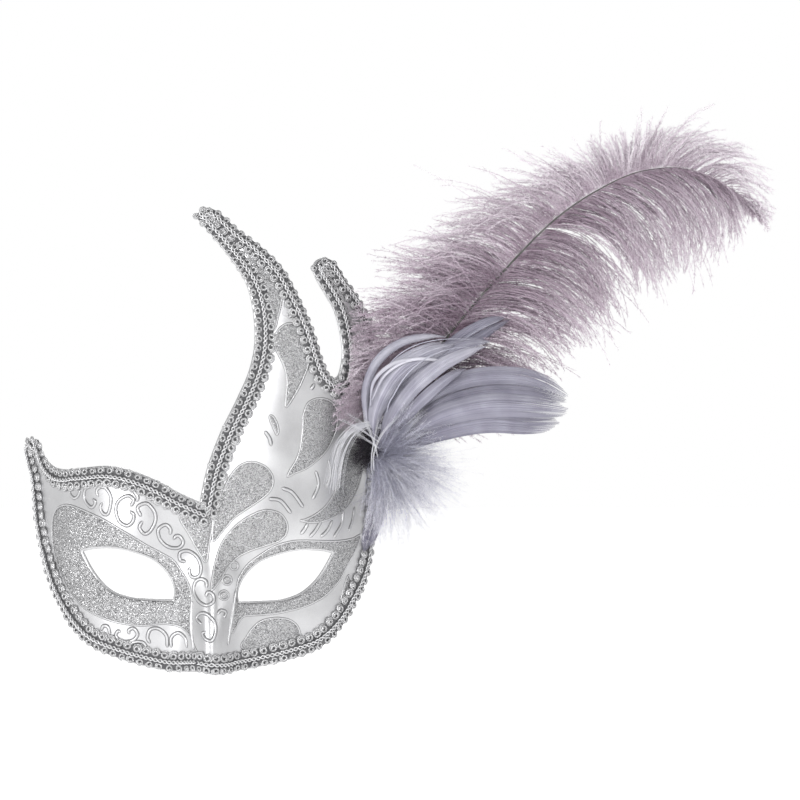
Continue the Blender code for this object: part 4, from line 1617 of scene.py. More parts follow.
@dataclass
class StrandStore:
    """Collects the closed three-sided strands and barbules of one feather."""

    points: list[np.ndarray] = field(default_factory=list)
    quads: list[np.ndarray] = field(default_factory=list)
    tris: list[np.ndarray] = field(default_factory=list)
    tones: list[np.ndarray] = field(default_factory=list)
    total: int = 0

    def strands(
        self, paths: np.ndarray, width: np.ndarray, tone: np.ndarray, facing: np.ndarray, flatness: float
    ) -> None:
        """Adds strands along paths.

        Args:
            paths: shaped (strands, points, 3).
            width: each point's half width, shaped (strands, points), or one row for all strands.
            tone: each point's tone, from 0 at a dark root to 1 at a light tip.
            facing: each strand's flat side's direction, shaped (strands, 3), or one for all strands.
            flatness: the strand's thickness over its width.
        """
        count, length = paths.shape[:2]
        width = np.broadcast_to(width, (count, length))
        ahead = unit(np.gradient(paths, axis=1))
        side = unit(np.cross(ahead, np.broadcast_to(facing, (count, 3))[:, None]))
        up = np.cross(side, ahead)
        corners = []
        for angle in (90, 210, 330):
            a, b = math.cos(math.radians(angle)), math.sin(math.radians(angle)) * flatness
            corners.append(paths + (side * a + up * b) * width[..., None])
        ring = np.stack(corners, axis=2)
        base = (np.arange(count) * length * 3)[:, None] + self.total
        root = base + np.array([[0, 1, 2]])
        tip = base + (length - 1) * 3 + np.array([[2, 1, 0]])
        self.points.append(ring.reshape(-1, 3))
        self.quads.append((base[:, None] + ring_quads(length, 3)).reshape(-1, 4))
        self.tris += [root, tip]
        self.tones.append(np.repeat(tone.reshape(-1), 3))
        self.total += count * length * 3

    def spikes(self, roots: np.ndarray, ends: np.ndarray, half_width: float, tone: np.ndarray) -> None:
        """Adds barbules as slender closed spikes.

        Args:
            roots: where each starts.
            ends: where each ends.
            half_width: half the width at the root.
            tone: each one's tone.
        """
        ahead = unit(ends - roots)
        helper = np.where(np.abs(ahead[:, 2:]) < 0.8, np.array([[0.0, 0, 1]]), np.array([[1.0, 0, 0]]))
        side = unit(np.cross(ahead, helper))
        up = np.cross(side, ahead)
        corners = [roots + (side * math.cos(a) + up * math.sin(a)) * half_width for a in (0, 2.094, 4.189)]
        cloud = np.stack([*corners, ends], axis=1)
        base = (np.arange(len(roots)) * 4)[:, None] + self.total
        for face in ((0, 2, 1), (0, 1, 3), (1, 2, 3), (2, 0, 3)):
            self.tris.append(base + np.array([face]))
        self.points.append(cloud.reshape(-1, 3))
        self.tones.append(np.repeat(tone, 4))
        self.total += len(roots) * 4

    def mesh(self, name: str) -> bpy.types.Mesh:
        """Makes the collected strands one mesh.

        Args:
            name: the mesh's name.

        Returns:
            The mesh, with each point's tone.
        """
        faces = [np.vstack(self.tris)]
        if self.quads:
            faces.insert(0, np.vstack(self.quads))
        tones = np.clip(np.concatenate(self.tones), 0, 1)
        return make_mesh(name, np.vstack(self.points), faces, {"tone": tones})


def heading_paths(
    roots: np.ndarray, start: np.ndarray, end: np.ndarray, lean: np.ndarray, length: np.ndarray,
    count: int, bend: float,
) -> np.ndarray:
    """Grows strands whose heading turns steadily in the feather's plane.

    Args:
        roots: where the strands start, shaped (strands, 3).
        start: each strand's first heading, in degrees above +X in the XZ plane.
        end: each strand's last heading.
        lean: each strand's lean towards +Y, in degrees, which fades along it.
        length: each strand's length.
        count: points in a strand.
        bend: over 1, the turn comes late.

    Returns:
        The strands' points, shaped (strands, count, 3).
    """
    share = np.linspace(0, 1, count)[None]
    heading = np.radians(start[:, None] + (end - start)[:, None] * share**bend)
    out = np.radians(lean[:, None] * (1 - 0.7 * share))
    step = (length / (count - 1))[:, None]
    delta = np.stack([np.cos(heading) * np.cos(out), np.sin(out), np.sin(heading) * np.cos(out)], axis=-1)
    delta *= step[..., None]
    paths = np.cumsum(delta, axis=1)
    paths = np.concatenate([np.zeros_like(paths[:, :1]), paths[:, :-1]], axis=1)
    return roots[:, None] + paths


def bring_forward(form: MaskForm, paths: np.ndarray, above: np.ndarray, gap: float) -> None:
    """Moves the points of strands that lie in or behind the shell to its front.

    Args:
        form: the shell's form.
        paths: the strands, shaped (strands, points, 3), which change in place.
        above: where over the shell each point comes to lie, as (x, z).
        gap: the least distance in front of the shell.
    """
    near = above[..., 0] < SPRAY_SIDE_EDGE
    front = form.point(above[near], gap)
    paths[near, 1] = np.minimum(paths[near, 1], front[:, 1])


def clumps(random: np.random.Generator, count: int, size: float, spread: float) -> np.ndarray:
    """Gives neighbouring strands the same random shift, lock by lock.

    Args:
        random: the source of the shifts.
        count: how many strands there are.
        size: strands in a lock.
        spread: how far the shifts scatter.

    Returns:
        One shift for each strand.
    """
    knots = random.normal(0, spread, int(count / size) + 2)
    return knots[(np.arange(count) / size).astype(int)]


@dataclass
class Fluff:
    """How the barbules stand on a feather's barbs."""

    per_barb: int
    length: float
    half_width: float
    spread: float = 0.75
    sag: float = 0.25

    def add(
        self, store: StrandStore, paths: np.ndarray, tone: np.ndarray, random: np.random.Generator
    ) -> None:
        """Adds barbules along barbs.

        Args:
            store: where they go.
            paths: the barbs, shaped (barbs, points, 3).
            tone: the barbs' tones, shaped (barbs, points).
            random: the source of the scatter.
        """
        count, length = paths.shape[:2]
        total = count * self.per_barb
        barb = np.repeat(np.arange(count), self.per_barb)
        along = random.uniform(0.04, 0.995, total) * (length - 1)
        low = along.astype(int)
        part = (along - low)[:, None]
        here, there = paths[barb, low], paths[barb, low + 1]
        roots = here * (1 - part) + there * part
        ahead = unit(there - here)
        scatter = unit(random.normal(size=(total, 3)))
        heading = unit(ahead * random.uniform(0.25, 0.8, (total, 1)) + scatter * self.spread)
        heading[:, 2] -= self.sag * random.uniform(0, 1, total)
        reach = self.length * random.uniform(0.35, 1.0, total) * (1 - 0.35 * (along / length))
        tones = tone[barb, low] + random.uniform(-0.10, 0.22, total)
        store.spikes(roots, roots + unit(heading) * reach[:, None], self.half_width, tones)


PLUME_SHAFT: Triples = [
    (91, 37.5, 76), (97, 32, 87.5), (121, 21, 119.5), (147, 17, 150), (177, 16, 180), (207, 18, 198.5),
    (227, 21, 204), (243, 25, 203.5), (258, 31, 198), (270, 36, 189.5), (278, 39.5, 181),
]


@dataclass(frozen=True)
class FlueTable:
    """How the flues of one side stand, at shares of the shaft's length: degrees and millimetres."""

    shares: tuple[float, ...]
    first: tuple[float, ...]
    last: tuple[float, ...]
    lengths: tuple[float, ...]

    def read(self, share: np.ndarray) -> tuple[np.ndarray, np.ndarray, np.ndarray]:
        """Reads the table.

        Args:
            share: where the flues start, as shares of the shaft's length.

        Returns:
            Each flue's first heading, last heading and length.
        """
        columns = (self.first, self.last, self.lengths)
        return tuple(np.interp(share, self.shares, numbers) for numbers in columns)


UPPER_FLUES = FlueTable(
    (0.07, 0.25, 0.40, 0.50, 0.58, 0.64, 0.70, 0.75, 0.80, 0.86, 0.92, 1.0),
    (158, 150, 144, 138, 128, 116, 100, 86, 58, 34, 4, -32),
    (204, 192, 196, 204, 200, 168, 118, 40, -16, -44, -62, -64),
    (42, 50, 52, 46, 35, 26, 21, 26, 33, 35, 27, 10),
)
LOWER_FLUES = FlueTable(
    (0.07, 0.25, 0.40, 0.565, 0.70, 0.80, 0.87, 0.93, 1.0),
    (8, 14, 7, -4, -14, -22, -34, -44, -52),
    (-26, -44, -66, -84, -94, -96, -84, -72, -64),
    (50, 64, 64, 66, 65, 54, 32, 14, 5),
)


def sway_joint() -> tuple[np.ndarray, float]:
    """Reads the plume's joint from the frame.

    Returns:
        The point that it turns about and its lower limit in degrees.
    """
    joint = next(j for j in FRAME["joints"] if j["name"] == "plume_sway")
    return np.array(joint["pos_m"], float), joint["range_deg"][0]


@dataclass
class OstrichPlume:
    """The plume: a dark tapering shaft and long drooping flues with soft barbules."""

    form: MaskForm
    seed: int = 11
    spacing: float = 0.00068
    shaft_radius: float = 0.00080
    flue_half_width: float = 0.00024
    points: int = 12
    barbules: tuple[int, int] = (88, 112)
    left_limit: float = 0.0712
    shell_gap: float = 0.0060

    def shaft(self) -> np.ndarray:
        """Draws the shaft's middle line from the point where the plume sways.

        Returns:
            The line's points.
        """
        return smooth_line(np.vstack([sway_joint()[0], mm(PLUME_SHAFT)]), 0.002)

    def build(self) -> None:
        """Makes the shaft, then the flues of each side and the down at the foot."""
        line = self.shaft()
        shares = line_lengths(line) / line_lengths(line)[-1]
        radius = self.shaft_radius * (1 - 0.86 * shares)
        horn = Mottled("plume_shaft_horn", (0.035, 0.038, 0.033), (0.12, 0.125, 0.11), (0.30, 0.45),
                       grain_height=0.00003).make()
        points, quads, caps = loft(rod_rings(line, radius, 10))
        place(make_mesh("plume_quill", points, [quads, caps]), PLUME, [horn], ("plume_shaft",))
        flues = Plumage("ostrich_flue", (0.21, 0.135, 0.19), (0.565, 0.455, 0.545),
                        (0.93, 0.86, 0.92)).make()
        replaced = ("plume_vane",)
        for side, side_name in ((1, "upper"), (-1, "lower")):
            for layer, layer_name in ((-1, "front"), (0, "middle"), (1, "back")):
                store = self.side(line, side, layer)
                mesh = store.mesh(f"plume_flues_{side_name}_{layer_name}")
                place(mesh, PLUME, [flues], replaced)
                replaced = ()
        place(self.foot(line).mesh("plume_foot_down"), PLUME, [flues])

    def side(self, line: np.ndarray, side: int, layer: int) -> StrandStore:
        """Grows the flues of one side.

        Args:
            line: the shaft.
            side: 1 for the upper side, -1 for the lower.
            layer: -1 for the flues that lean forward, 0 for the middle ones, 1 for those behind.

        Returns:
            The flues and their barbules.
        """
        random = np.random.default_rng(self.seed + side * 3 + layer)
        total = line_lengths(line)[-1]
        count = int(total * 0.93 / self.spacing)
        share = 0.07 + 0.927 * np.linspace(0, 1, count) ** (1.0 if side > 0 else 1.25)
        roots = at_shares(line, share)
        first, last, length = (UPPER_FLUES if side > 0 else LOWER_FLUES).read(share)
        shift = clumps(random, count, 9, 6) + clumps(random, count, 3, 4) + random.normal(0, 2.5, count)
        curl = clumps(random, count, 6, 13) + random.normal(0, 9, count)
        lean = layer * random.uniform(4, 24, count) + clumps(random, count, 5, 6)
        length = length * random.uniform(0.74, 1.04, count) * (1 + clumps(random, count, 5, 0.08))
        if side > 0:
            far = (random.random(count) < 0.10) & (share > 0.44) & (share < 0.82)
            length = np.where(far, length * random.uniform(1.15, 1.45, count), length)
            curl = np.where(far, curl - 0.45 * (last - first), curl)
        paths = heading_paths(roots, first + shift, last + curl, lean, mm(length), self.points, 1.1)
        paths = self.clear_of_shell(paths, random)
        along = np.linspace(0, 1, self.points)[None]
        wave = np.sin(along * random.uniform(5, 9, (count, 1)) + random.uniform(0, 6, (count, 1)))
        paths[..., 2] += 0.0007 * wave * along
        lighter = 0.66 * np.clip(share - 0.28, 0, 0.7) if side > 0 else 0.36 * share - 0.23
        tone = 0.22 + 0.46 * along**0.8 + clumps(random, count, 4, 0.08)[:, None]
        # painted shade: the back layer's flues are 0.05 darker, as if shaded by the layers in front
        tone = tone + random.normal(0, 0.07, (count, 1)) + lighter[:, None] - 0.05 * (layer > 0)
        width = self.flue_half_width * (1 - 0.75 * along)
        facing = unit(random.normal(size=(count, 3)) * 0.4 + np.array([0, -1.0, 0]))
        kept = random.random(count) < np.interp(share, [0, 0.78, 0.88, 1.0], [1, 1, 0.38, 0.22])
        store = StrandStore()
        store.strands(paths[kept], width, tone[kept], facing[kept], 0.7)
        fluff = Fluff(self.barbules[int(side < 0)], 0.0036, 0.00012, spread=0.40, sag=0.16)
        fluff.add(store, paths[kept], tone[kept], random)
        return store

    def clear_of_shell(self, paths: np.ndarray, random: np.random.Generator) -> np.ndarray:
        """Shortens strands that would cover the horn and keeps them in front of the shell as they sway.

        Args:
            paths: the strands, shaped (strands, points, 3).
            random: the source of the ragged edge.

        Returns:
            The strands, clear of the shell.
        """
        ragged = random.uniform(0, 1, len(paths))
        limit = np.where(paths[:, -1, 2] < 0.094, 0.062 + 0.011 * ragged, self.left_limit + 0.003 * ragged)
        root, least = paths[:, 0, 0], paths[..., 0].min(axis=1)
        keep = np.where(least < limit, (root - limit) / np.maximum(root - least, 1e-6), 1.0)
        paths = paths[:, :1] + (paths - paths[:, :1]) * keep[:, None, None]
        middle, lowest = sway_joint()
        for angle in np.radians([0.0, lowest / 2, lowest]):
            x, z = paths[..., 0] - middle[0], paths[..., 2] - middle[2]
            swayed = np.stack([middle[0] + x * math.cos(angle) + z * math.sin(angle),
                               middle[2] + z * math.cos(angle) - x * math.sin(angle)], axis=-1)
            bring_forward(self.form, paths, swayed, self.shell_gap)
        return paths

    def foot(self, line: np.ndarray) -> StrandStore:
        """Grows the looser down round the foot of the shaft.

        Args:
            line: the shaft.

        Returns:
            The barbs and their barbules.
        """
        random = np.random.default_rng(self.seed + 9)
        count, points = 330, 11
        share = random.uniform(0.03, 0.42, count)
        roots = at_shares(line, share) + random.normal(0, 0.0012, (count, 3))
        first = random.normal(146, 22, count)
        last = random.normal(200, 30, count)
        length = mm(random.uniform(24, 47, count))
        paths = heading_paths(roots, first, last, random.normal(-3, 16, count), length, points, 1.0)
        paths = self.clear_of_shell(paths, random)
        along = np.linspace(0, 1, points)[None]
        tone = 0.16 + 0.52 * along + random.normal(0, 0.10, (count, 1))
        store = StrandStore()
        width = self.flue_half_width * (1 - 0.7 * along)
        store.strands(paths, width, tone, unit(random.normal(size=(count, 3))), 0.9)
        Fluff(128, 0.0042, 0.00010, spread=0.55, sag=0.12).add(store, paths, tone, random)
        return store


def rod_rings(line: np.ndarray, radius: np.ndarray, around: int) -> np.ndarray:
    """Puts a ring of points round each point of a line.

    Args:
        line: the middle line.
        radius: the radius at each of its points.
        around: points in a ring.

    Returns:
        The rings, shaped (points in the line, around, 3).
    """
    ahead = directions(line)
    side = unit(np.cross(ahead, np.array([0.0, 1.0, 0.0])))
    up = np.cross(side, ahead)
    angle = np.linspace(0, 2 * math.pi, around, endpoint=False)
    out = side[:, None] * np.cos(angle)[None, :, None] + up[:, None] * np.sin(angle)[None, :, None]
    return line[:, None] + out * radius[:, None, None]


@dataclass(frozen=True)
class Lobe:
    """One smooth band of close barbs in a goose vane."""

    path: Triples
    widths: tuple[float, float, float]
    tone: float
    camber: float = 1.2


@dataclass(frozen=True)
class GooseShape:
    """One goose feather's quill and the bands that its vane has parted into."""

    quill: Triples
    lobes: list[Lobe]


GOOSE: dict[str, GooseShape] = {
    "curled": GooseShape(
        [(84, 19, 84), (87, 12, 97), (94, 8, 108), (105, 5.5, 115), (120, 5, 118), (140, 6, 117.5)],
        [Lobe([(84.5, 25, 61), (80.5, 20, 79), (80, 15, 93.5), (86, 10, 107.5), (98, 7.5, 116.5),
               (112, 6.5, 119.5), (121, 6, 119)], (1.2, 2.1, 0.5), 0.58),
         Lobe([(84.5, 24, 62.5), (84, 18, 77.5), (89, 12, 91.5), (98, 7.5, 103.5), (112, 5.5, 111.5),
               (125, 5.5, 115.5)], (1.6, 5.6, 1.0), 0.56, 1.8),
         Lobe([(86, 24, 61.5), (91, 18, 77.5), (99.5, 12, 93.5), (113, 8, 107), (129, 7, 114.5),
               (143, 7, 117)], (1.4, 5.2, 0.8), 0.42, 1.8),
         Lobe([(83, 10.5, 87.5), (89.5, 6.5, 100), (102, 3.5, 107.5), (117, 2.5, 107), (128, 3, 101)],
              (0.35, 0.6, 0.2), 0.86, 0.2),
         Lobe([(82, 13, 84), (84, 8, 97), (94, 4.5, 106), (108, 3, 108.5)], (0.3, 0.7, 0.2), 0.90, 0.2)]),
    "front": GooseShape(
        [(91, 14, 84), (98, 6, 97), (108, 0.5, 107), (122, -1.5, 113), (138, -1, 114.5)],
        [Lobe([(86, 23, 61.5), (92, 14, 76), (102.5, 4.5, 92), (117, -0.5, 104.5), (131, -1.5, 111.5),
               (141, -1.5, 114.5)], (1.2, 3.6, 0.5), 0.56, 1.6),
         Lobe([(87.5, 22, 61.5), (96, 13, 74.5), (108.5, 5, 88), (121, 1, 98.5), (131, 0, 104)],
              (1.2, 2.8, 0.6), 0.30, 1.0)]),
    "rear": GooseShape(
        [(94, 20, 84), (106, 16, 98), (117, 13.5, 108), (132, 12, 120), (146, 12, 127), (154, 13, 129.5)],
        [Lobe([(96, 20, 86), (108, 16, 101), (122, 13.5, 115), (138, 12.5, 125.5), (153.5, 13.5, 130.5)],
              (0.8, 2.7, 0.4), 0.26),
         Lobe([(98, 20, 84), (111, 16, 98), (126, 13.5, 111.5), (141, 12.5, 121.5), (153, 13.5, 128.5)],
              (0.8, 2.5, 0.6), 0.20)]),
    "broad": GooseShape(
        [(99, 21, 75), (118, 12.5, 84), (138, 8, 88.5), (158, 6, 88.5), (177, 8, 85)],
        [Lobe([(90, 24, 64), (101, 19, 77), (113, 12.5, 89), (131, 7, 98), (155, 5, 99.5), (170, 6, 95.5),
               (181.5, 8, 89)], (1.6, 4.6, 2.8), 0.36, 2.0),
         Lobe([(91, 23, 63.5), (104, 15.5, 75), (119, 9, 85.5), (141, 5, 91), (163, 4.5, 90.5),
               (182, 7, 86.5)], (1.6, 3.6, 2.0), 0.16, 1.0),
         Lobe([(92, 23, 62), (105, 14, 72), (120, 7.5, 80), (141, 3.8, 84.5), (163, 4, 84),
               (181.5, 6.5, 82)], (1.8, 6.6, 3.8), 0.38, 2.6),
         Lobe([(93, 23, 60), (107, 14.5, 67), (121, 9, 72.5), (141, 5.8, 76.3), (160, 6, 75.2),
               (177.5, 8, 76)], (1.8, 5.2, 3.6), 0.30, 1.6)]),
    "drooping": GooseShape(
        [(83, 30, 44), (80.5, 28, 30), (77.5, 26.5, 13)],
        [Lobe([(85, 29, 47), (84.5, 27, 33), (81, 26, 20), (79, 26, 10.5)], (1.0, 2.9, 1.2), 0.18),
         Lobe([(87, 29, 46), (87, 27, 33), (84.5, 26, 22), (81.5, 26, 13)], (0.8, 2.2, 0.8), 0.28)]),
}


@dataclass
class GooseFeathers:
    """The stiff goose feathers, whose vanes are bands of close flat barbs."""

    seed: int = 31
    spacing: float = 0.00036
    barb_points: int = 26

    def build(self) -> None:
        """Makes every feather's quill and vane."""
        vane = Plumage("goose_vane", (0.115, 0.108, 0.155), (0.33, 0.322, 0.395), (0.70, 0.695, 0.76),
                       0.40, 0.12).make()
        horn = Mottled("goose_quill_horn", (0.34, 0.34, 0.42), (0.52, 0.52, 0.60), (0.30, 0.45),
                       grain_height=0.00003).make()
        for i, (name, shape) in enumerate(GOOSE.items()):
            random = np.random.default_rng(self.seed + i)
            line = smooth_line(mm(shape.quill), 0.0015)
            store = StrandStore()
            for lobe in shape.lobes:
                self.band(store, lobe, random)
            self.downy_base(store, line, random)
            place(store.mesh(f"goose_feather_{name}"), ROOT, [vane], (f"goose_vane_{name}",))
            self.quill(name, line, horn)

    def quill(self, name: str, line: np.ndarray, horn: bpy.types.Material) -> None:
        """Makes the quill, from inside the binding to the vane's tip.

        Args:
            name: the feather's name.
            line: the quill's visible line.
            horn: its finish.
        """
        low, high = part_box("quill_binding")
        binding = (np.array(low) + np.array(high)) / 2
        toward = unit(line[0] - binding)
        lead = np.vstack([binding + toward * 0.0015, binding + (line[0] - binding) * 0.45])
        full = smooth_line(np.vstack([lead, at_shares(line, np.linspace(0, 0.90, 8))]), 0.0015)
        shares = line_lengths(full) / line_lengths(full)[-1]
        points, quads, caps = loft(rod_rings(full, 0.00058 * (1 - 0.80 * shares), 8))
        mesh = make_mesh(f"goose_rachis_{name}", points, [quads, caps])
        place(mesh, ROOT, [horn], (f"goose_quill_{name}",))

    def band(self, store: StrandStore, lobe: Lobe, random: np.random.Generator) -> None:
        """Lays barbs side by side along a band.

        Args:
            store: where the barbs go.
            lobe: the band.
            random: the source of small irregularities.
        """
        middle = at_shares(smooth_line(mm(lobe.path), 0.001), np.linspace(0, 1, self.barb_points))
        along = np.linspace(0, 1, self.barb_points)
        half = np.interp(along, [0, 0.12, 0.35, 0.62, 0.86, 1.0],
                         mm([lobe.widths[0], lobe.widths[0] * 1.1, lobe.widths[1] * 0.86, lobe.widths[1],
                             lobe.widths[1] * 0.72 + lobe.widths[2] * 0.28, lobe.widths[2]]))
        count = max(4, int(2 * mm(max(lobe.widths)) / self.spacing))
        spread = np.linspace(-1, 1, count)
        ahead = directions(middle)
        across = unit(np.cross(ahead, FORWARD))
        forward = np.cross(across, ahead)
        forward *= np.where(forward[:, 1:2] > 0, -1, 1)
        part = clumps(random, count, 5, 0.035)[:, None] * along**3
        offset = spread[:, None] + part + random.normal(0, 0.012, (count, 1)) * along**2
        rise = mm(lobe.camber) * (1 - offset**2) + random.normal(0, 0.00010, (count, 1)) * along
        paths = middle[None] + across[None] * (offset * half)[..., None] + forward[None] * rise[..., None]
        reach = 1 - 0.07 * np.abs(spread) ** 2.2 - np.abs(clumps(random, count, 4, 0.010))
        reach = reach - random.uniform(0, 0.012, count)
        cut = np.linspace(0, 1, self.barb_points)[None] * reach[:, None] * (self.barb_points - 1)
        low = np.clip(cut.astype(int), 0, self.barb_points - 2)
        share = (cut - low)[..., None]
        rows = np.arange(count)[:, None]
        paths = paths[rows, low] * (1 - share) + paths[rows, low + 1] * share
        crowd = self.spacing * (0.35 + 0.65 * half / half.max())
        width = 0.95 * crowd * (1 - 0.75 * along**6)
        tone = lobe.tone + clumps(random, count, 5, 0.05)[:, None] + random.normal(0, 0.035, (count, 1))
        # painted shade: the outermost barbs of each band are darker, for the shadow in the slits between
        # bands
        painted_slit_shade = 0.12 * (np.abs(spread) > 0.94)[:, None]
        tone = tone + 0.10 * along - 0.22 * np.clip(1 - along / 0.35, 0, 1) - painted_slit_shade
        store.strands(paths, width, tone, FORWARD, 0.22)

    def downy_base(self, store: StrandStore, line: np.ndarray, random: np.random.Generator) -> None:
        """Adds the soft down at the foot of the vane.

        Args:
            store: where the barbs go.
            line: the quill.
            random: the source of the scatter.
        """
        count, points = 46, 8
        roots = at_shares(line, random.uniform(0.0, 0.22, count))
        ahead = directions(line)[0]
        base = math.degrees(math.atan2(ahead[2], ahead[0]))
        first = base + random.choice([-1, 1], count) * random.uniform(15, 50, count)
        last = first + random.normal(0, 30, count)
        paths = heading_paths(roots, first, last, random.normal(0, 24, count),
                              mm(random.uniform(6, 13, count)), points, 1.0)
        along = np.linspace(0, 1, points)[None]
        tone = 0.35 + 0.35 * along + random.normal(0, 0.06, (count, 1))
        store.strands(paths, 0.00006 * (1 - 0.6 * along), tone, unit(random.normal(size=(count, 3))), 0.9)
        Fluff(26, 0.0028, 0.00003).add(store, paths, tone, random)


@dataclass(frozen=True)
class TuftShape:
    """One marabou tuft: where its barbs start and how they fan out."""

    root: tuple[float, float, float]
    scatter: float
    headings: tuple[float, float]
    turn: float
    lengths: tuple[float, float]
    lean: float
    barbs: int
    tone: float
    leftmost: float = 78.5


TUFTS: dict[str, TuftShape] = {
    "lower": TuftShape((88, 24, 58), 2.6, (-118, 4), -10, (16, 50), -12, 640, 0.73),
    "upper": TuftShape((90, 21, 62), 2.2, (6, 72), -10, (12, 36), -24, 320, 0.60),
}


@dataclass
class MarabouDown:
    """The tufts of lilac down round the binding."""

    form: MaskForm
    seed: int = 57
    points: int = 11
    shell_gap: float = 0.0025

    def build(self) -> None:
        """Makes both tufts, and near-black stubble between them as painted shadow round the binding."""
        down = Plumage("marabou_down", (0.11, 0.105, 0.16), (0.42, 0.418, 0.535), (0.92, 0.915, 0.97),
                       0.7, 0.3).make()
        for i, (name, shape) in enumerate(TUFTS.items()):
            random = np.random.default_rng(self.seed + i)
            store = self.tuft(shape, random)
            place(store.mesh(f"marabou_down_{name}"), ROOT, [down], (f"marabou_tuft_{name}",))
        # painted shadow: a tuft of near-black down fills the shaded hollow round the binding
        dark = Plumage("painted_shadow_down", (0.012, 0.010, 0.016), (0.05, 0.04, 0.055), (0.20, 0.16, 0.20),
                       0.8, 0.1).make()
        stubble = TuftShape((85.5, 27, 63), 3.0, (60, 225), 8, (5, 14), -10, 260, 0.16, 73.5)
        store = self.tuft(stubble, np.random.default_rng(self.seed + 7))
        place(store.mesh("painted_shadow_stubble"), ROOT, [dark])

    def tuft(self, shape: TuftShape, random: np.random.Generator) -> StrandStore:
        """Grows one tuft.

        Args:
            shape: how the barbs start and fan out.
            random: the source of the scatter.

        Returns:
            The barbs and their barbules.
        """
        count = shape.barbs
        roots = mm(shape.root) + random.normal(0, mm(shape.scatter), (count, 3))
        first = random.uniform(*shape.headings, count)
        last = first + shape.turn + random.normal(0, 22, count)
        length = mm(shape.lengths[0] + (shape.lengths[1] - shape.lengths[0]) * random.beta(2.0, 1.7, count))
        lean = random.normal(shape.lean, 15, count)
        paths = heading_paths(roots, first, last, lean, length, self.points, 1.2)
        clear = paths[..., 0].min(axis=1) > mm(shape.leftmost + random.exponential(1.5, count) - 2)
        paths, length = paths[clear], length[clear]
        count = len(paths)
        bring_forward(self.form, paths, paths[..., [0, 2]], self.shell_gap)
        along = np.linspace(0, 1, self.points)[None]
        reach = length[:, None] / length.max()
        tone = shape.tone - 0.30 + 0.62 * along * reach + random.normal(0, 0.09, (count, 1))
        store = StrandStore()
        store.strands(paths, 0.00009 * (1 - 0.7 * along), tone, unit(random.normal(size=(count, 3))), 0.9)
        Fluff(72, 0.0046, 0.00005, spread=0.75, sag=0.2).add(store, paths, tone, random)
        return store


@dataclass(frozen=True)
class Wisp:
    """A bundle of fine barbs along one path."""

    path: Triples
    threads: int
    spread: float
    tone: float = 0.6


WISPS: list[Wisp] = [
    Wisp([(88, 21, 74), (82, 18.5, 75.5), (74, 17, 73.5), (68, 15.5, 67), (64.5, 15, 57), (62.5, 15.5, 43)],
         36, 1.7, 0.70),
    Wisp([(88, 20, 73), (81, 17.5, 74.5), (75, 16, 71), (70, 14.5, 63), (67, 14, 52), (66, 15, 42)],
         12, 1.1, 0.62),
    Wisp([(87, 20, 68), (78, 17, 76), (70, 16.5, 81)], 5, 0.6),
    Wisp([(87, 19, 66), (77, 15, 73), (67, 14, 78)], 4, 0.5),
    Wisp([(88, 19, 62), (80, 15, 67), (73, 13, 71)], 4, 0.6),
    Wisp([(86, 19, 58), (84, 13, 66), (80, 11, 76), (79, 10, 82)], 5, 0.7, 0.75),
    Wisp([(84, 18, 52), (84, 12, 60), (88, 8, 70), (97, 4, 80)], 5, 0.6, 0.75),
    Wisp([(83, 18, 50), (82.5, 12, 58), (84, 9, 68), (86, 8, 78)], 4, 0.5, 0.7),
]


@dataclass
class StrayStrands:
    """The curled pale barbs that fall over the temple of the shell and cross the binding."""

    seed: int = 83
    points: int = 22

    def build(self) -> None:
        """Makes the strands as bundles of fine barbs."""
        pale = Plumage("pale_strand", (0.30, 0.30, 0.36), (0.62, 0.62, 0.68), (0.88, 0.88, 0.91),
                       0.4, 0.2).make()
        random = np.random.default_rng(self.seed)
        store = StrandStore()
        along = np.linspace(0, 1, self.points)[None, :, None]
        for wisp in WISPS:
            line = at_shares(smooth_line(mm(wisp.path), 0.001), along[0, :, 0])
            offsets = random.normal(0, mm(wisp.spread), (wisp.threads, 1, 3)) * (0.22 + along)
            offsets[..., 1] *= 0.4
            paths = line[None] + offsets
            width = 0.00013 * (1 - 0.70 * along[..., 0])
            tone = wisp.tone + 0.25 * along[..., 0] + random.normal(0, 0.08, (wisp.threads, 1))
            store.strands(paths, width, tone, FORWARD, 0.5)
        place(store.mesh("curled_strand_barbs"), ROOT, [pale], ("curled_strand",))


# ---------------------------------------------------------------- the binding and the tabs


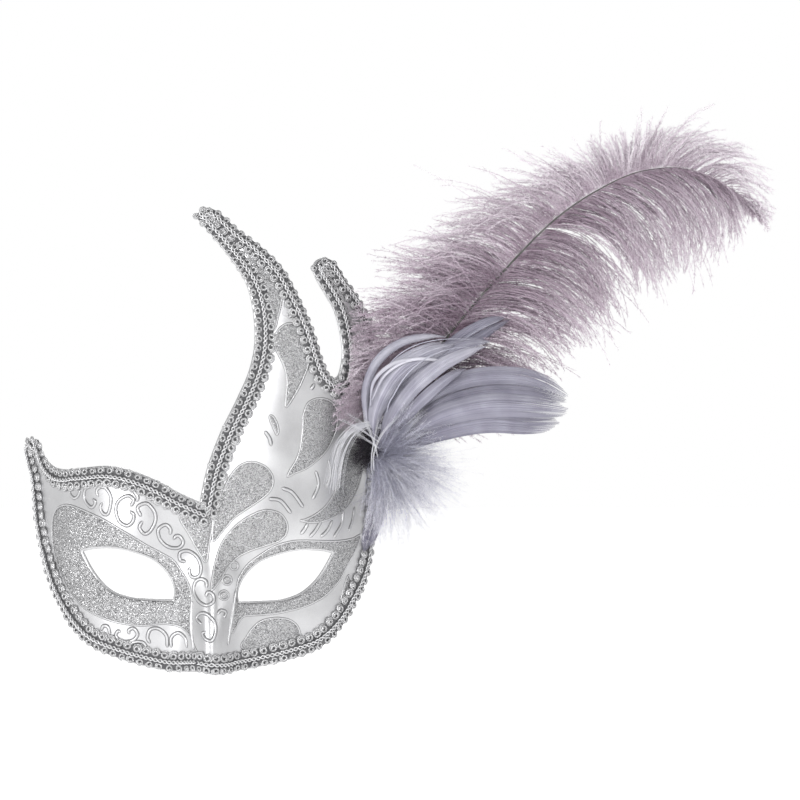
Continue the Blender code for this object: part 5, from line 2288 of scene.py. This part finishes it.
@dataclass
class Binding:
    """The thread wound round the quills, and the felt pad and tabs."""

    turns: int = 15
    thread_radius: float = 0.00042
    wound_share: float = 0.92
    core_share: float = 0.95
    core_profile: tuple[float, ...] = (0.55, 0.9, 1, 1, 1, 1, 1, 0.9, 0.55)

    def build(self) -> None:
        """Makes the winding and dresses the frame's own felt and horn."""
        thread = Mottled("waxed_thread", (0.012, 0.010, 0.016), (0.05, 0.045, 0.06), (0.45, 0.7)).make()
        felt = Mottled("grey_felt", (0.18, 0.18, 0.20), (0.42, 0.42, 0.44), (0.9, 1.0),
                       patch_scale=500.0, grain_scale=3800.0, grain_height=0.0003).make()
        horn = bpy.data.materials["plume_shaft_horn"]
        self.winding(thread)
        for node, finish in (("spray_pad", felt), ("tie_anchor_left", felt), ("tie_anchor_right", felt),
                             ("plume_butt", horn)):
            mesh = FRAME["nodes"][node].data
            mesh.materials.clear()
            mesh.materials.append(finish)

    def winding(self, thread: bpy.types.Material) -> None:
        """Winds the thread round the quills in rising turns, with a sleeve beneath.

        Args:
            thread: the thread's finish.
        """
        node = FRAME["nodes"]["quill_binding"].data
        cloud = np.array([v.co for v in node.vertices])
        middle = cloud.mean(0)
        _, _, axes = np.linalg.svd(cloud - middle, full_matrices=False)
        spans = [np.ptp((cloud - middle) @ a) for a in axes]
        axis = axes[int(np.argmax(spans))]
        axis = axis * np.sign(axis[2])
        half = max(spans) / 2
        radius = float(np.linalg.norm(np.cross(cloud - middle, axis), axis=1).max())
        side = unit(np.cross(axis, [0.0, 1.0, 0.0]))
        front = np.cross(axis, side)
        angle = np.linspace(0, 2 * math.pi * self.turns, self.turns * 22)
        height = np.linspace(-half * self.wound_share, half * self.wound_share, len(angle))
        wave = radius - self.thread_radius + 0.00012 * np.sin(angle * 0.37)
        line = middle + np.outer(height, axis) + wave[:, None] * (
            np.outer(np.cos(angle), side) + np.outer(np.sin(angle), front))
        ahead = directions(line)
        out = unit(line - middle - np.outer(height, axis))
        up = np.cross(ahead, out)
        turn = np.linspace(0, 2 * math.pi, 7, endpoint=False)[None, :, None]
        ring = line[:, None] + self.thread_radius * (out[:, None] * np.cos(turn) + up[:, None] * np.sin(turn))
        points, quads, caps = loft(ring)
        place(make_mesh("binding_thread_winding", points, [quads, caps]), ROOT, [thread],
              ("quill_binding",))
        spots = np.linspace(-self.core_share, self.core_share, len(self.core_profile))
        core = np.stack([middle + axis * half * t for t in spots])
        core_radius = (radius - 1.4 * self.thread_radius) * np.array(self.core_profile)
        points, quads, caps = loft(rod_rings(core, core_radius, 20))
        place(make_mesh("binding_core", points, [quads, caps]), ROOT, [thread])


# ---------------------------------------------------------------- the studio


@dataclass
class Studio:
    """A pale floor, soft lights, and the camera in front."""

    focus: tuple[float, float, float] = (0.097, 0.0, 0.0875)
    distance: float = 3.0
    frame_width: float = 0.400
    floor: float = -0.075
    surround: float = 0.42

    def build(self) -> None:
        """Makes the floor, the lights, the world and the camera."""
        self.ground()
        self.world()
        self.light("key", (-2.0, -2.1, 0.45), 0.9, 30.0)
        self.light("front", (0.25, -2.5, 0.85), 0.8, 24.0)
        self.light("side", (1.8, -0.9, 0.9), 0.9, 5.0)
        self.light("rim", (0.3, 1.6, 1.4), 1.0, 10.0)
        data = bpy.data.cameras.new("camera")
        data.sensor_width = 36.0
        data.lens = data.sensor_width * self.distance / self.frame_width
        camera = bpy.data.objects.new("camera", data)
        camera.location = (self.focus[0], self.focus[1] - self.distance, self.focus[2])
        camera.rotation_euler = (math.pi / 2, 0, 0)
        bpy.context.scene.collection.objects.link(camera)
        bpy.context.scene.camera = camera
        bpy.context.scene.view_settings.view_transform = "Standard"

    def ground(self) -> None:
        """Makes the floor, a flat sheet of lit paper."""
        wide = 6.0
        corners = [(x * wide, y * wide, self.floor) for x, y in ((-1, -1), (1, -1), (1, 1), (-1, 1))]
        mesh = make_mesh("studio_floor", np.array(corners), [np.array([[0, 1, 2, 3]])])
        paper = Shading("studio_paper", Roughness=0.9, Specular_IOR_Level=0.1, Emission_Strength=0.68)
        paper.shader.inputs["Base Color"].default_value = (0.93, 0.93, 0.93, 1)
        paper.shader.inputs["Emission Color"].default_value = (1, 1, 1, 1)
        mesh.materials.append(paper.material)
        floor = bpy.data.objects.new("studio_floor", mesh)
        bpy.context.scene.collection.objects.link(floor)

    def world(self) -> None:
        """Sets an even grey surround that looks white to the camera."""
        world = bpy.data.worlds.new("studio")
        world.use_nodes = True
        sheet = NodeSheet(world.node_tree)
        seen = sheet.add("ShaderNodeLightPath").outputs["Is Camera Ray"]
        level = sheet.add("ShaderNodeMapRange", {"To Min": self.surround, "To Max": 1.0, "Value": seen})
        background = sheet.tree.nodes["Background"].inputs
        sheet.fill(background["Color"], (1, 1, 1, 1))
        sheet.fill(background["Strength"], level)
        bpy.context.scene.world = world

    def light(self, name: str, place_at: tuple[float, float, float], size: float, power: float) -> None:
        """Adds a square soft light that faces the mask.

        Args:
            name: the light's name.
            place_at: where it stands.
            size: its side.
            power: its power in watts.
        """
        data = bpy.data.lights.new(name, "AREA")
        data.size = size
        data.energy = power
        lamp = bpy.data.objects.new(name, data)
        lamp.location = place_at
        toward = Vector(self.focus) - Vector(place_at)
        lamp.rotation_euler = toward.to_track_quat("-Z", "Y").to_euler()
        bpy.context.scene.collection.objects.link(lamp)


def main() -> None:
    """Builds the whole mask around the frame."""
    logging.basicConfig(level=logging.INFO, format="%(name)s: %(message)s")
    Studio().build()
    form = MaskForm()
    Shell(form).build()
    Decoration(form).build()
    Braid(form).build()
    OstrichPlume(form).build()
    GooseFeathers().build()
    MarabouDown(form).build()
    StrayStrands().build()
    Binding().build()


if __name__ == "__main__":
    for thing in list(bpy.data.objects):
        bpy.data.objects.remove(thing)
    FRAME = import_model()
    main()
